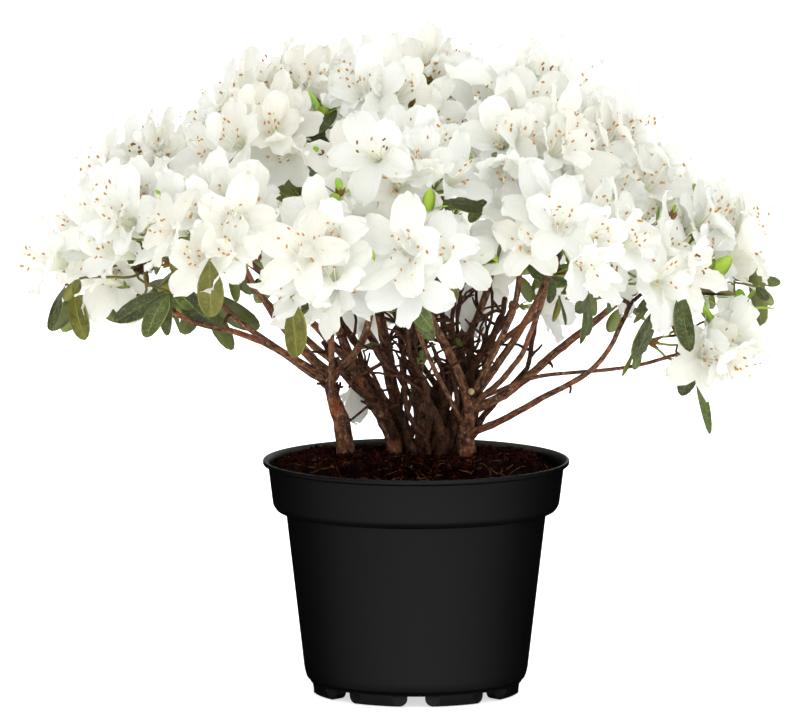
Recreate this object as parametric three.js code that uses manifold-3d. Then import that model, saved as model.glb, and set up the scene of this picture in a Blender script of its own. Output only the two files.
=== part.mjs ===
// A white azalea in a round black nursery pot. Several woody stems rise from the mounded soil and fork
// into boughs that spread like the ribs of a fan. They carry a broad dome of foliage and blossom, made
// of many separate masses. Millimetres, +Z up. The origin is the middle of the pot's underside, and -Y
// is the plant's best side.
import * as THREE from "three";
import { mergeVertices } from "three/addons/utils/BufferGeometryUtils.js";
import Module from "manifold-3d";

const wasm = await Module();
wasm.setup();

// ---- Driving dimensions -------------------------------------------------------------------------

const GAP = 0.3; // clearance between pieces that touch
const SLIVER = 0.12; // edges shorter than this are closed up

const POT = {
  height: 145,
  rimRadius: 95, // the outside of the rolled bead
  beadHeight: 3.2,
  collarTopRadius: 92, // the band under the bead leans in a little towards its foot
  collarFootRadius: 88.6,
  collarHeight: 31.5,
  collarEdge: { inset: 2.6, rise: 3.2 }, // its lower edge is rounded off
  wallTopRadius: 80.8, // the tapering wall under the collar's ledge
  wallFootRadius: 69,
  wallFootHeight: 13,
  ledgeInset: 1.4, // a fine ledge runs round where the wall meets the standing ring
  ledgeHeight: 9.5,
  footRadius: 64.5, // the standing ring
  footWidth: 8.5,
  footHeight: 6.5, // how far the floor is held off the ground
  padRadius: 26, // the flat middle of the floor, which stands on the ground as the ring does
  skin: 1.5,
  segments: 32,
};
// Slots round the standing ring, each with an arch through the ring behind it.
const DRAIN = { count: 8, width: 30, height: 6.2, depth: 2.4, archWidth: 15 };

const SOIL = {
  top: 148, // level where the stems stand: a little proud of the rim, as a planted root ball is
  levelWidth: 74, // half the length of the level part, from side to side
  levelDepth: 33, // half its depth, from front to back
  levelMiddle: [-6, 18],
  slope: 26, // the run over which it falls from there to the edge
  edgeHeight: 136,
};

const LIMB = {
  stemSides: 8,
  stemSteps: 6,
  stemTaper: 0.25, // the share of its girth that a stem loses by its fork
  boughSides: 6,
  boughSteps: 5,
  boughTip: 0.55, // a bough's thickness in its mass, as a share of its girth
  minRadius: 1.2,
};
// How far a stem widens into its roots at the soil, and over what height.
const FLARE = { share: 0.22, length: 9 };

const MASS = { detail: 2, unevenness: 0.2, lumps: 5, innerFlattening: 0.5, crownHeart: 240 };

// Each stem stands at [x, y] on the soil and forks at [x, y, z]. Its girth is its thickness above the flare.
const STEMS = {
  stem_left: { foot: [-44, 16], fork: [-55, 8, 196], girth: 10.5 },
  stem_middle_left: { foot: [-14, 16], fork: [-41, 20, 203], girth: 9 },
  stem_rear_left: { foot: [-12, 33], fork: [-19, 46, 212], girth: 9 },
  stem_middle: { foot: [4, 24], fork: [-3, 30, 218], girth: 9 },
  stem_rear: { foot: [13, 39], fork: [28, 60, 208], girth: 10 },
  stem_right: { foot: [31, 12], fork: [34, 6, 182], girth: 11.5 },
};

// Each mass of foliage and blossom: its bearing round the pot in degrees (0 is +X, 90 is the back), its
// reach from the pot's axis, the height of its middle and its size across. Its bough leaves the named
// stem at a share of the stem's length, passes by any named points, and has its girth where it leaves.
const MASSES = {
  left_low: {
    bearing: -171, reach: 196, height: 276, across: 90,
    bough: { stem: "stem_left", at: 0.84, girth: 5, by: [[-97, -6, 221], [-146, -22, 236]] },
  },
  left_front: {
    bearing: -154, reach: 183, height: 299, across: 96,
    bough: { stem: "stem_left", at: 0.94, girth: 4.6, by: [[-108, -30, 234]] },
  },
  front_left: {
    bearing: -132, reach: 170, height: 300, across: 104,
    bough: { stem: "stem_left", at: 0.97, girth: 4.4, by: [[-86, -38, 236]] },
  },
  upper_left: {
    bearing: -149, reach: 117, height: 346, across: 104,
    bough: { stem: "stem_left", at: 1, girth: 6.4, by: [[-76, -10, 224]] },
  },
  top_front: {
    bearing: -121, reach: 47, height: 366, across: 94,
    bough: { stem: "stem_left", at: 0.9, girth: 5.6, by: [[-31, -6, 222]] },
  },
  front_near_left: {
    bearing: -110, reach: 149, height: 292, across: 96,
    bough: { stem: "stem_left", at: 0.74, girth: 5, by: [[-52, -44, 222]] },
  },
  left_upper: {
    bearing: 178, reach: 160, height: 320, across: 92,
    bough: { stem: "stem_middle_left", at: 0.97, girth: 5.4 },
  },
  top_left: {
    bearing: 178, reach: 84, height: 362, across: 94,
    bough: { stem: "stem_middle_left", at: 1, girth: 6.4 },
  },
  left_back: {
    bearing: 155, reach: 158, height: 293, across: 120,
    bough: { stem: "stem_middle_left", at: 0.7, girth: 5.4, by: [[-84, 44, 228]] },
  },
  back_left: {
    bearing: 126, reach: 156, height: 288, across: 120,
    bough: { stem: "stem_rear_left", at: 0.75, girth: 5.6 },
  },
  upper_back_left: {
    bearing: 124, reach: 100, height: 344, across: 122,
    bough: { stem: "stem_rear_left", at: 1, girth: 6.6 },
  },
  top: {
    bearing: 74, reach: 32, height: 366, across: 96,
    bough: { stem: "stem_middle", at: 1, girth: 6.6 },
  },
  back: {
    bearing: 92, reach: 154, height: 287, across: 122,
    bough: { stem: "stem_rear", at: 0.72, girth: 6 },
  },
  upper_back_right: {
    bearing: 50, reach: 104, height: 341, across: 122,
    bough: { stem: "stem_rear", at: 1, girth: 6.6 },
  },
  back_right: {
    bearing: 57, reach: 156, height: 286, across: 120,
    bough: { stem: "stem_rear", at: 0.9, girth: 5.4 },
  },
  right_back: {
    bearing: 24, reach: 161, height: 281, across: 112,
    bough: { stem: "stem_rear", at: 0.55, girth: 5.2 },
  },
  top_right: {
    bearing: 0, reach: 64, height: 363, across: 92,
    bough: { stem: "stem_rear", at: 0.8, girth: 5.6, by: [[44, 40, 244]] },
  },
  front_middle: {
    bearing: -96, reach: 106, height: 334, across: 108,
    bough: { stem: "stem_right", at: 0.92, girth: 6.4, by: [[24, -2, 206], [7, -22, 236]] },
  },
  front_low: {
    bearing: -90, reach: 145, height: 288, across: 90,
    bough: { stem: "stem_right", at: 0.35, girth: 3.4, by: [[16, -18, 194], [-2, -52, 238]] },
  },
  upper_right: {
    bearing: -54, reach: 100, height: 340, across: 104,
    bough: { stem: "stem_right", at: 1, girth: 5, by: [[46, -4, 208], [63, -24, 250]] },
  },
  front_right: {
    bearing: -54, reach: 149, height: 298, across: 104,
    bough: { stem: "stem_right", at: 0.8, girth: 4.4, by: [[62, -24, 208]] },
  },
  right_upper: {
    bearing: -10, reach: 115, height: 329, across: 104,
    bough: { stem: "stem_right", at: 0.97, girth: 5.6, by: [[66, 6, 226]] },
  },
  right: {
    bearing: -5, reach: 172, height: 282, across: 98,
    bough: { stem: "stem_right", at: 0.7, girth: 6.4, by: [[57, 2, 186], [97, -6, 221]] },
  },
  right_low: {
    bearing: -12, reach: 188, height: 223, across: 60,
    bough: { stem: "stem_right", at: 0.9, girth: 2.8, by: [[76, -14, 199], [130, -26, 205]] },
  },
  right_front: {
    bearing: -29, reach: 152, height: 270, across: 90,
    bough: { stem: "stem_right", at: 0.25, girth: 5, by: [[85, -28, 191], [118, -52, 216]] },
  },
};

// ---- Materials ----------------------------------------------------------------------------------

const blackPlastic = new THREE.MeshStandardMaterial({ color: 0x1c1c1c, roughness: 0.5 });
const darkPeat = new THREE.MeshStandardMaterial({ color: 0x1f0d08, roughness: 1 });
const brownBark = new THREE.MeshStandardMaterial({ color: 0x4a2e1e, roughness: 0.85 });
const whiteBlossom = new THREE.MeshStandardMaterial({ color: 0xf4f4ee, roughness: 0.7 });

// ---- Tools --------------------------------------------------------------------------------------

// A closed geometry as a solid that can be joined and cut.
function solidOf(geometry) {
  const bare = geometry.clone();
  bare.deleteAttribute("normal");
  bare.deleteAttribute("uv");
  const merged = mergeVertices(bare, 1e-3);
  const vertProperties = merged.attributes.position.array;
  const triVerts = new Uint32Array(merged.index.array);
  return new wasm.Manifold(new wasm.Mesh({ numProp: 3, vertProperties, triVerts }));
}

// A solid as a geometry again.
function geometryOf(solid) {
  const mesh = solid.getMesh();
  return new THREE.BufferGeometry()
    .setAttribute("position", new THREE.BufferAttribute(new Float32Array(mesh.vertProperties), 3))
    .setIndex(new THREE.BufferAttribute(new Uint32Array(mesh.triVerts), 1));
}

// Repeatable numbers from 0 to 1.
function seeded(seed) {
  let state = seed >>> 0;
  return () => {
    state = (state + 0x6d2b79f5) >>> 0;
    let t = Math.imul(state ^ (state >>> 15), 1 | state);
    t = (t + Math.imul(t ^ (t >>> 7), 61 | t)) ^ t;
    return ((t ^ (t >>> 14)) >>> 0) / 4294967296;
  };
}

const shrub = new THREE.Group();

function addNode(name, geometry, material) {
  const mesh = new THREE.Mesh(geometry, material);
  mesh.name = name;
  shrub.add(mesh);
}

// ---- The pot: one thin moulding with a bead, a deep collar, a tapering wall and a notched ring ----

function potProfile() {
  const p = POT;
  const collarFoot = p.height - p.collarHeight;
  const shell = [
    [0, 0],
    [p.padRadius, 0],
    [p.padRadius + 3, p.footHeight],
    [p.footRadius - p.footWidth, p.footHeight],
    [p.footRadius - p.footWidth, 0],
    [p.footRadius, 0],
    [p.footRadius + p.ledgeInset, p.footHeight],
    [p.wallFootRadius - p.ledgeInset, p.ledgeHeight],
    [p.wallFootRadius, p.wallFootHeight],
    [p.wallTopRadius, collarFoot],
    [p.collarFootRadius - p.collarEdge.inset, collarFoot],
    [p.collarFootRadius, collarFoot + p.collarEdge.rise],
    [p.collarTopRadius, p.height - p.beadHeight],
    [p.rimRadius, p.height - p.beadHeight],
    [p.rimRadius, p.height],
    [p.collarTopRadius - p.skin, p.height],
    [p.collarFootRadius - p.skin - 1, collarFoot + p.skin],
    [p.wallTopRadius - p.skin, collarFoot + p.skin],
    [p.wallFootRadius - p.skin, p.wallFootHeight + 0.5],
    [p.footRadius - 2, p.footHeight + p.skin],
    [p.padRadius + 2, p.footHeight + p.skin],
    [p.padRadius - 1, p.skin],
    [0, p.skin],
  ];
  return shell.map(([radius, height]) => new THREE.Vector2(radius, height));
}

function makePot() {
  const shell = new THREE.LatheGeometry(potProfile(), POT.segments).rotateX(Math.PI / 2);
  let pot = solidOf(shell);
  const slotMiddle = POT.footRadius + POT.ledgeInset - DRAIN.depth / 2 + 1; // a little proud, to cut clean
  for (let i = 0; i < DRAIN.count; i++) {
    const turn = -Math.PI / 2 + (i * 2 * Math.PI) / DRAIN.count;
    const slot = new THREE.BoxGeometry(DRAIN.depth + 1, DRAIN.width, 2 * DRAIN.height);
    const arch = new THREE.BoxGeometry(2 * POT.footWidth, DRAIN.archWidth, 2 * DRAIN.height);
    slot.translate(slotMiddle, 0, 0).rotateZ(turn);
    arch.translate(POT.footRadius - POT.footWidth / 2, 0, 0).rotateZ(turn);
    pot = pot.subtract(solidOf(slot)).subtract(solidOf(arch));
  }
  return geometryOf(pot.simplify(SLIVER));
}

// ---- The soil: it fills the pot, level where the stems stand and lower round the pot's wall -------

function soilHeight(x, y) {
  const [middleX, middleY] = SOIL.levelMiddle;
  const beyondX = Math.max(0, Math.abs(x - middleX) - SOIL.levelWidth);
  const beyondY = Math.max(0, Math.abs(y - middleY) - SOIL.levelDepth);
  const fall = THREE.MathUtils.smoothstep(Math.hypot(beyondX, beyondY), 0, SOIL.slope);
  return SOIL.top + fall * (SOIL.edgeHeight - SOIL.top);
}

function makeSoil() {
  const p = POT;
  const clear = p.skin + GAP;
  const collarFoot = p.height - p.collarHeight;
  const edgeShare = (SOIL.edgeHeight - collarFoot) / p.collarHeight;
  const edgeRadius = p.collarFootRadius + edgeShare * (p.collarTopRadius - p.collarFootRadius) - clear - 1;
  const surfaceRings = [0.92, 0.76, 0.58, 0.3].map((share) => share * edgeRadius);
  const outline = [
    [0, p.footHeight + clear],
    [p.footRadius - 3, p.footHeight + clear],
    [p.wallFootRadius - clear - 0.3, p.wallFootHeight + 1.5],
    [p.wallTopRadius - clear - 0.5, collarFoot + clear],
    [p.collarFootRadius - clear - 2.8, collarFoot + clear + 0.6],
    [p.collarFootRadius - clear - 0.4, collarFoot + clear + 3.5],
    [edgeRadius, SOIL.edgeHeight],
    ...surfaceRings.map((radius) => [radius, SOIL.top]),
    [0, SOIL.top],
  ];
  const points = outline.map(([radius, height]) => new THREE.Vector2(radius, height));
  const ball = new THREE.LatheGeometry(points, POT.segments).rotateX(Math.PI / 2);
  const position = ball.attributes.position;
  for (let i = 0; i < position.count; i++) {
    if (position.getZ(i) < SOIL.edgeHeight) continue;
    position.setZ(i, soilHeight(position.getX(i), position.getY(i)));
  }
  return ball;
}

// ---- Stems and boughs: round limbs that taper along a curve -------------------------------------

// A limb along a curve. radiusAt gives its radius from 0, its foot, to 1, its tip.
function limb(curve, radiusAt, sides, steps) {
  const circle = new THREE.Shape().absarc(0, 0, 1, 0, 2 * Math.PI, false);
  const section = new THREE.Shape(circle.getPoints(sides / 2).slice(0, -1));
  const options = { steps, bevelEnabled: false, extrudePath: curve };
  const tube = new THREE.ExtrudeGeometry(section, options);
  const rings = curve.getSpacedPoints(steps);
  const position = tube.attributes.position;
  const vertex = new THREE.Vector3();
  for (let i = 0; i < position.count; i++) {
    vertex.fromBufferAttribute(position, i);
    const distances = rings.map((ring) => ring.distanceToSquared(vertex));
    const nearest = distances.indexOf(Math.min(...distances));
    vertex.sub(rings[nearest]).multiplyScalar(radiusAt(nearest / steps)).add(rings[nearest]);
    position.setXYZ(i, vertex.x, vertex.y, vertex.z);
  }
  return tube;
}

function stemCurve({ foot, fork }) {
  const start = new THREE.Vector3(foot[0], foot[1], SOIL.top + GAP);
  const end = new THREE.Vector3(...fork);
  const upright = start.clone().add(new THREE.Vector3(0, 0, (end.z - start.z) / 3));
  const lean = end.clone().sub(start).multiplyScalar(0.35);
  return new THREE.CubicBezierCurve3(start, upright, end.clone().sub(lean), end);
}

// A stem is cut flat on the soil: everything of it below its standing height is taken away.
function makeStem(stem, grow) {
  const curve = stemCurve(stem);
  const length = curve.getLength();
  const radiusAt = (t) => {
    const flare = FLARE.share * Math.exp((-t * length) / FLARE.length);
    return (stem.girth / 2) * (1 + flare - LIMB.stemTaper * t) + grow;
  };
  const tube = solidOf(limb(curve, radiusAt, LIMB.stemSides, LIMB.stemSteps));
  const below = new THREE.BoxGeometry(4 * stem.girth, 4 * stem.girth, 20);
  below.translate(stem.foot[0], stem.foot[1], SOIL.top + GAP - 10);
  return tube.subtract(solidOf(below));
}

function massMiddle({ bearing, reach, height }) {
  const turn = THREE.MathUtils.degToRad(bearing);
  return new THREE.Vector3(reach * Math.cos(turn), reach * Math.sin(turn), height);
}

// A bough leaves its stem, passes by its named points, or sweeps outwards if it has none, and ends in
// its mass.
function boughCurve(mass) {
  const { stem, at, by } = mass.bough;
  const parent = stemCurve(STEMS[stem]);
  const start = parent.getPointAt(at);
  const end = massMiddle(mass);
  if (by) {
    const passing = by.map((point) => new THREE.Vector3(...point));
    return new THREE.CatmullRomCurve3([start, ...passing, end]);
  }
  const run = end.clone().sub(start);
  const length = run.length();
  const leave = parent.getTangentAt(at).multiplyScalar(0.4).add(run.clone().normalize()).normalize();
  const outward = new THREE.Vector3(run.x, run.y, 0).multiplyScalar(1 / length);
  const arrive = outward.add(new THREE.Vector3(0, 0, 0.75)).normalize();
  const afterStart = start.clone().addScaledVector(leave, length * 0.35);
  const beforeEnd = end.clone().addScaledVector(arrive, -length * 0.3);
  return new THREE.CubicBezierCurve3(start, afterStart, beforeEnd, end);
}

function makeBough(mass, grow) {
  const thick = mass.bough.girth / 2;
  const thin = Math.max(LIMB.minRadius, thick * LIMB.boughTip);
  const radiusAt = (t) => thick + t * (thin - thick) + grow;
  return solidOf(limb(boughCurve(mass), radiusAt, LIMB.boughSides, LIMB.boughSteps));
}

// ---- Masses: uneven rounded clumps, flat where they press on their neighbours -------------------

// How far a mass may reach along a direction before it meets the halfway plane of a neighbour.
function roomToward(name, direction) {
  const here = massMiddle(MASSES[name]);
  const size = MASSES[name].across / 2;
  let room = Infinity;
  for (const [other, neighbour] of Object.entries(MASSES)) {
    if (other === name) continue;
    const across = massMiddle(neighbour).sub(here);
    const distance = across.length();
    const otherSize = neighbour.across / 2;
    const plane = (distance ** 2 + size ** 2 - otherSize ** 2) / (2 * distance) - GAP * 0.6;
    const facing = direction.dot(across) / distance;
    if (facing > 0) room = Math.min(room, plane / facing);
  }
  return room;
}

function makeMass(name, seed, grow) {
  const mass = MASSES[name];
  const random = seeded(seed);
  const middle = massMiddle(mass);
  const inward = new THREE.Vector3(0, 0, MASS.crownHeart).sub(middle).normalize();
  const lumps = Array.from({ length: MASS.lumps }, () => ({
    toward: new THREE.Vector3(random() - 0.5, random() - 0.5, random() - 0.5).normalize(),
    phase: random() * 2 * Math.PI,
    waves: 3 + 3 * random(),
  }));
  const ball = new THREE.IcosahedronGeometry(1, MASS.detail);
  const position = ball.attributes.position;
  const direction = new THREE.Vector3();
  for (let i = 0; i < position.count; i++) {
    direction.fromBufferAttribute(position, i).normalize();
    const waves = lumps.map((lump) => Math.cos(lump.waves * direction.dot(lump.toward) + lump.phase));
    const dip = MASS.unevenness * (0.1 - waves.reduce((sum, wave) => sum + wave, 0) / (2 * MASS.lumps));
    const flattened = 1 - MASS.innerFlattening * Math.max(0, direction.dot(inward)) ** 2;
    const wanted = (mass.across / 2) * (1 - dip) * flattened;
    direction.multiplyScalar(Math.min(wanted, roomToward(name, direction)) + grow).add(middle);
    position.setXYZ(i, direction.x, direction.y, direction.z);
  }
  return solidOf(ball);
}

// ---- Assembly -----------------------------------------------------------------------------------

addNode("pot", makePot(), blackPlastic);
addNode("soil", makeSoil(), darkPeat);

function largestPiece(solid) {
  const pieces = solid.simplify(SLIVER).decompose();
  return pieces.sort((a, b) => b.volume() - a.volume())[0];
}

const cutBy = (solid, others) => others.reduce((left, other) => left.subtract(other), solid);

const grownLimbs = [];
for (const [name, stem] of Object.entries(STEMS)) {
  addNode(name, geometryOf(largestPiece(cutBy(makeStem(stem, 0), grownLimbs))), brownBark);
  grownLimbs.push(makeStem(stem, GAP));
}

const massNames = Object.keys(MASSES);
const grownMasses = massNames.map((name, index) => makeMass(name, index + 1, GAP));
for (const name of massNames) {
  const bough = cutBy(cutBy(makeBough(MASSES[name], 0), grownLimbs), grownMasses);
  addNode("bough_" + name, geometryOf(largestPiece(bough)), brownBark);
  grownLimbs.push(makeBough(MASSES[name], GAP));
}
massNames.forEach((name, index) => {
  addNode("mass_" + name, geometryOf(makeMass(name, index + 1, 0)), whiteBlossom);
});

export default shrub;
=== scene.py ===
# A white azalea in a black nursery pot: its pot, peat, stems and boughs, and a crown of twigs, leaves
# and blossom that grows on from the boughs. Metres, +Z up. The best side faces -Y.
import math
import bpy
import numpy as np
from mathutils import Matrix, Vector, noise
from mathutils.bvhtree import BVHTree


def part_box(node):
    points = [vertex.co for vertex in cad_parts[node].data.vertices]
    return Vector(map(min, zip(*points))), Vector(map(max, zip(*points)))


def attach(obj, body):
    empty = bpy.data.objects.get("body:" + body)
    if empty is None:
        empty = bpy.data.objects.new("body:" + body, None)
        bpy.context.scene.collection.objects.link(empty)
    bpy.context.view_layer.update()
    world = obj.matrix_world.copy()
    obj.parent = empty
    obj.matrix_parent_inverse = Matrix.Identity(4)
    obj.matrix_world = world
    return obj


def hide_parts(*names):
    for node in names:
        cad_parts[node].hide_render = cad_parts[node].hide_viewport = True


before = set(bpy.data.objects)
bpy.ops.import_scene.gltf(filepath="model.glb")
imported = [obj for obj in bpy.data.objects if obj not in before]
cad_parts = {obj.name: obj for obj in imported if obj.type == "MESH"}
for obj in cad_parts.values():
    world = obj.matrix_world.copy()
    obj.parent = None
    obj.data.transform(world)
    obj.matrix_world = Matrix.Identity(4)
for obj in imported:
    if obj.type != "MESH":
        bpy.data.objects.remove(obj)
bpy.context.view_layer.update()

MM = 0.001


# ---- The pot -------------------------------------------------------------------------------------
# A thin round nursery pot of black polypropylene, moulded in one piece: a rolled rim over a deep
# collar, a tapering wall, and a standing ring with eight slots that let water out under the floor.

POT_ROUND, CORNER_STEPS = 144, 4  # sides of the turned shape, and points round each corner of its section
POT_CREASE = math.radians(28)  # edges bent more than this stay crisp
RING_OUT = 65.9  # the standing ring's outer radius
# Each corner of the pot's section, from the floor's middle pad round to the inside floor: radius,
# height and how far the corner is rounded, in mm.
POT_CORNERS = [
    (26, 0, 0), (29, 6.5, 1.0), (56, 6.5, 1.2), (56, 0, 0.5), (64.5, 0, 0.6), (RING_OUT, 7.2, 0.5),
    (67.9, 9.3, 0.5), (69.3, 13.5, 2.6), (80.9, 113.5, 0.5), (86.4, 113.5, 1.3), (88.8, 117.0, 1.6),
    (91.8, 141.4, 0.7), (95.0, 141.9, 1.1), (95.0, 144.9, 0.9), (93.6, 144.9, 0.6), (90.6, 142.4, 1.6),
    (86.3, 115.2, 1.5), (79.4, 114.8, 0.7), (67.7, 13.4, 2.0), (62.6, 8.1, 1.2), (28.2, 8.1, 0.8),
    (25, 1.6, 0.6),
]
POT_SLOTS = 8
# A slot is cut by a block that stands out past the ring's face. An arch is cut from its inner radius
# out, and its mouth is the rounding of its lower corners.
SLOT = {"width": 29.6, "height": 6.6, "depth": 2.4, "corner": 0.9, "past": 2}
ARCH = {"width": 10.8, "height": 6.4, "mouth": 5.2, "inner": 49, "deep": 22, "below": 1}


def start_afresh():
    if bpy.context.object and bpy.context.object.mode != "OBJECT":
        bpy.ops.object.mode_set(mode="OBJECT")
    bpy.ops.object.select_all(action="DESELECT")


def with_rounded_corners(corners):
    """The section's points in metres, each corner turned into a short arc."""
    points = []
    for i, (radius, height, rounding) in enumerate(corners):
        here = np.array([radius, height], float)
        if rounding and 0 < i < len(corners) - 1:
            before = np.array(corners[i - 1][:2], float) - here
            after = np.array(corners[i + 1][:2], float) - here
            start = here + before / np.linalg.norm(before) * rounding
            end = here + after / np.linalg.norm(after) * rounding
            for t in np.linspace(0, 1, CORNER_STEPS):
                points.append(((1 - t) ** 2 * start + 2 * t * (1 - t) * here + t * t * end) * MM)
        else:
            points.append(here * MM)
    return points


def turn_pot():
    """The pot's shell, drawn out ring by ring from the pad it stands on."""
    start_afresh()
    section = with_rounded_corners(POT_CORNERS)
    radius, height = section[0]
    bpy.ops.mesh.primitive_circle_add(
        vertices=POT_ROUND, radius=radius, fill_type="TRIFAN", location=(0, 0, height))
    pot = bpy.context.object
    bpy.ops.object.mode_set(mode="EDIT")
    bpy.ops.mesh.select_mode(type="EDGE")
    bpy.ops.mesh.select_all(action="DESELECT")
    bpy.ops.mesh.select_non_manifold()
    for next_radius, next_height in section[1:]:
        bpy.ops.mesh.extrude_region_move(TRANSFORM_OT_translate={"value": (0, 0, next_height - height)})
        grow = next_radius / radius
        bpy.ops.transform.resize(value=(grow, grow, 1), center_override=(0, 0, 0))
        radius, height = next_radius, next_height
    bpy.ops.mesh.extrude_region_move(TRANSFORM_OT_translate={"value": (0, 0, 0)})
    bpy.ops.mesh.merge(type="CENTER")
    bpy.ops.mesh.select_all(action="SELECT")
    bpy.ops.mesh.remove_doubles(threshold=1e-6)
    bpy.ops.mesh.normals_make_consistent(inside=False)
    bpy.ops.object.mode_set(mode="OBJECT")
    return pot


def choose(piece):
    bpy.ops.object.select_all(action="DESELECT")
    piece.select_set(True)
    bpy.context.view_layer.objects.active = piece


def settle(piece):
    """Puts a piece's place and turn into its mesh."""
    choose(piece)
    bpy.ops.object.transform_apply(location=True, rotation=True, scale=True)


def slot_cutter(turn):
    """A block with rounded upright edges, which cuts the shallow slot in the ring's face."""
    start_afresh()
    out = (RING_OUT - SLOT["depth"] / 2 + SLOT["past"] / 2) * MM
    bpy.ops.mesh.primitive_cube_add(
        size=1, location=(out * math.cos(turn), out * math.sin(turn), 0), rotation=(0, 0, turn))
    block = bpy.context.object
    block.scale = ((SLOT["depth"] + SLOT["past"]) * MM, SLOT["width"] * MM, 2 * SLOT["height"] * MM)
    settle(block)
    bevel = block.modifiers.new("corners", "BEVEL")
    bevel.width, bevel.segments = SLOT["corner"] * MM, 3
    bpy.ops.object.modifier_apply(modifier=bevel.name)
    return block


def arch_cutter(turn):
    """A bell-mouthed block, which cuts the arch through the ring behind a slot."""
    start_afresh()
    half, mouth, high = ARCH["width"] / 2 * MM, ARCH["mouth"] * MM, ARCH["height"] * MM
    below, out = ARCH["below"] * MM, ARCH["inner"] * MM
    bpy.ops.mesh.primitive_grid_add(x_subdivisions=1, y_subdivisions=14, size=1)
    block = bpy.context.object
    for vertex in block.data.vertices:
        z = (vertex.co.y + 0.5) * (high + below) - below
        drop = max(0, (mouth - max(z, 0)) / mouth)
        wide = half + mouth * (1 - math.sqrt(1 - drop ** 2))
        vertex.co = (0, math.copysign(wide, vertex.co.x), z)
    bpy.ops.object.mode_set(mode="EDIT")
    bpy.ops.mesh.select_all(action="SELECT")
    bpy.ops.mesh.extrude_region_move(TRANSFORM_OT_translate={"value": (ARCH["deep"] * MM, 0, 0)})
    bpy.ops.mesh.select_all(action="SELECT")
    bpy.ops.mesh.normals_make_consistent(inside=False)
    bpy.ops.object.mode_set(mode="OBJECT")
    block.location = (out * math.cos(turn), out * math.sin(turn), 0)
    block.rotation_euler = (0, 0, turn)
    settle(block)
    return block


def cut_away(piece, cutter):
    cut = piece.modifiers.new("cut", "BOOLEAN")
    cut.operation, cut.solver, cut.object = "DIFFERENCE", "EXACT", cutter
    choose(piece)
    bpy.ops.object.modifier_apply(modifier=cut.name)
    bpy.data.objects.remove(cutter)


class Wire:
    """A socket that carries a value, so that sums on it can be written out."""

    def __init__(self, finish, socket):
        self.finish, self.socket = finish, socket

    def sum(self, operation, first, second):
        return self.finish.add("ShaderNodeMath", {"operation": operation}, {0: first, 1: second})

    def __add__(self, other):
        return self.sum("ADD", self, other)

    def __radd__(self, other):
        return self.sum("ADD", other, self)

    def __mul__(self, other):
        return self.sum("MULTIPLY", self, other)


BLACK, WHITE = (0, 0, 0, 1), (1, 1, 1, 1)


class Finish:
    """A surface finish in the making: a shader, and one way to add any other node to it."""

    def __init__(self, name, values):
        self.material = bpy.data.materials.new(name)
        self.material.use_nodes = True
        self.tree = self.material.node_tree
        self.shader = self.tree.nodes["Principled BSDF"]
        for socket, value in values.items():
            self.shader.inputs[socket].default_value = value

    def add(self, kind, settings=None, inputs=None, output=0):
        node = self.tree.nodes.new(kind)
        for setting, value in (settings or {}).items():
            if setting == "stops":
                stops = node.color_ramp.elements
                for i, (place, colour) in enumerate(value):
                    stop = stops[i] if i < 2 else stops.new(place)
                    stop.position, stop.color = place, colour
            else:
                setattr(node, setting, value)
        for socket, value in (inputs or {}).items():
            self.plug(node.inputs[socket], value)
        return Wire(self, node.outputs[output])

    def plug(self, socket, value):
        if isinstance(value, Wire):
            self.tree.links.new(value.socket, socket)
        else:
            socket.default_value = value

    def feed(self, **wires):
        """Wires go to the shader's own sockets: colour, roughness and normal."""
        places = {"colour": "Base Color", "roughness": "Roughness", "normal": "Normal"}
        for name, wire in wires.items():
            self.plug(self.shader.inputs[places[name]], wire)

    def speckle(self, where, scale, detail=3.0, roughness=0.55):
        inputs = {"Vector": where, "Scale": scale, "Detail": detail, "Roughness": roughness}
        return self.add("ShaderNodeTexNoise", {}, inputs)

    def between(self, share, first, second):
        """A colour between two others."""
        settings = {"data_type": "RGBA"}
        return self.add("ShaderNodeMix", settings, {"Factor": share, 6: first, 7: second}, 2)

    def graded(self, share, stops):
        return self.add("ShaderNodeValToRGB", {"stops": stops}, {"Fac": share})

    def above(self, share, low, high):
        """0 where the share is under low, rising to 1 where it is over high."""
        return self.graded(share, [(low, BLACK), (high, WHITE)])

    def below(self, share, low, high):
        """1 where the share is under low, falling to 0 where it is over high."""
        return self.graded(share, [(low, WHITE), (high, BLACK)])

    def raised(self, height, distance, strength):
        inputs = {"Height": height, "Distance": distance, "Strength": strength}
        return self.add("ShaderNodeBump", {}, inputs)


def rgb(red, green, blue):
    """A shader colour from the three numbers that a paint chart gives, 0 to 255."""
    def light(value):
        value = value / 255
        return value / 12.92 if value <= 0.04045 else ((value + 0.055) / 1.055) ** 2.4
    return (light(red), light(green), light(blue), 1)


def black_plastic():
    finish = Finish("black_plastic", {"Specular IOR Level": 0.5})
    where = finish.add("ShaderNodeTexCoord", output="Object")
    cloudy = finish.speckle(where, 22, 4)
    along = finish.add("ShaderNodeMapping", {}, {"Vector": where, "Scale": (60, 60, 9)})
    streaks = finish.speckle(along, 4, 5)
    grain = finish.speckle(where, 1500, 2)
    finish.feed(
        colour=finish.between(cloudy, rgb(5, 5, 5), rgb(8, 8, 8)),
        roughness=0.36 + cloudy * 0.08 + streaks * 0.06,
        normal=finish.raised(grain + streaks * 0.8, 0.00002, 0.5),
    )
    return finish.material


pot = turn_pot()
for i in range(POT_SLOTS):
    turn = -math.pi / 2 + i * 2 * math.pi / POT_SLOTS
    cut_away(pot, slot_cutter(turn))
    cut_away(pot, arch_cutter(turn))
pot.name = "nursery_pot"
pot.data.materials.clear()
pot.data.materials.append(black_plastic())
bpy.ops.object.shade_smooth_by_angle(angle=POT_CREASE)
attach(pot, "root")
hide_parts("pot")


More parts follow.
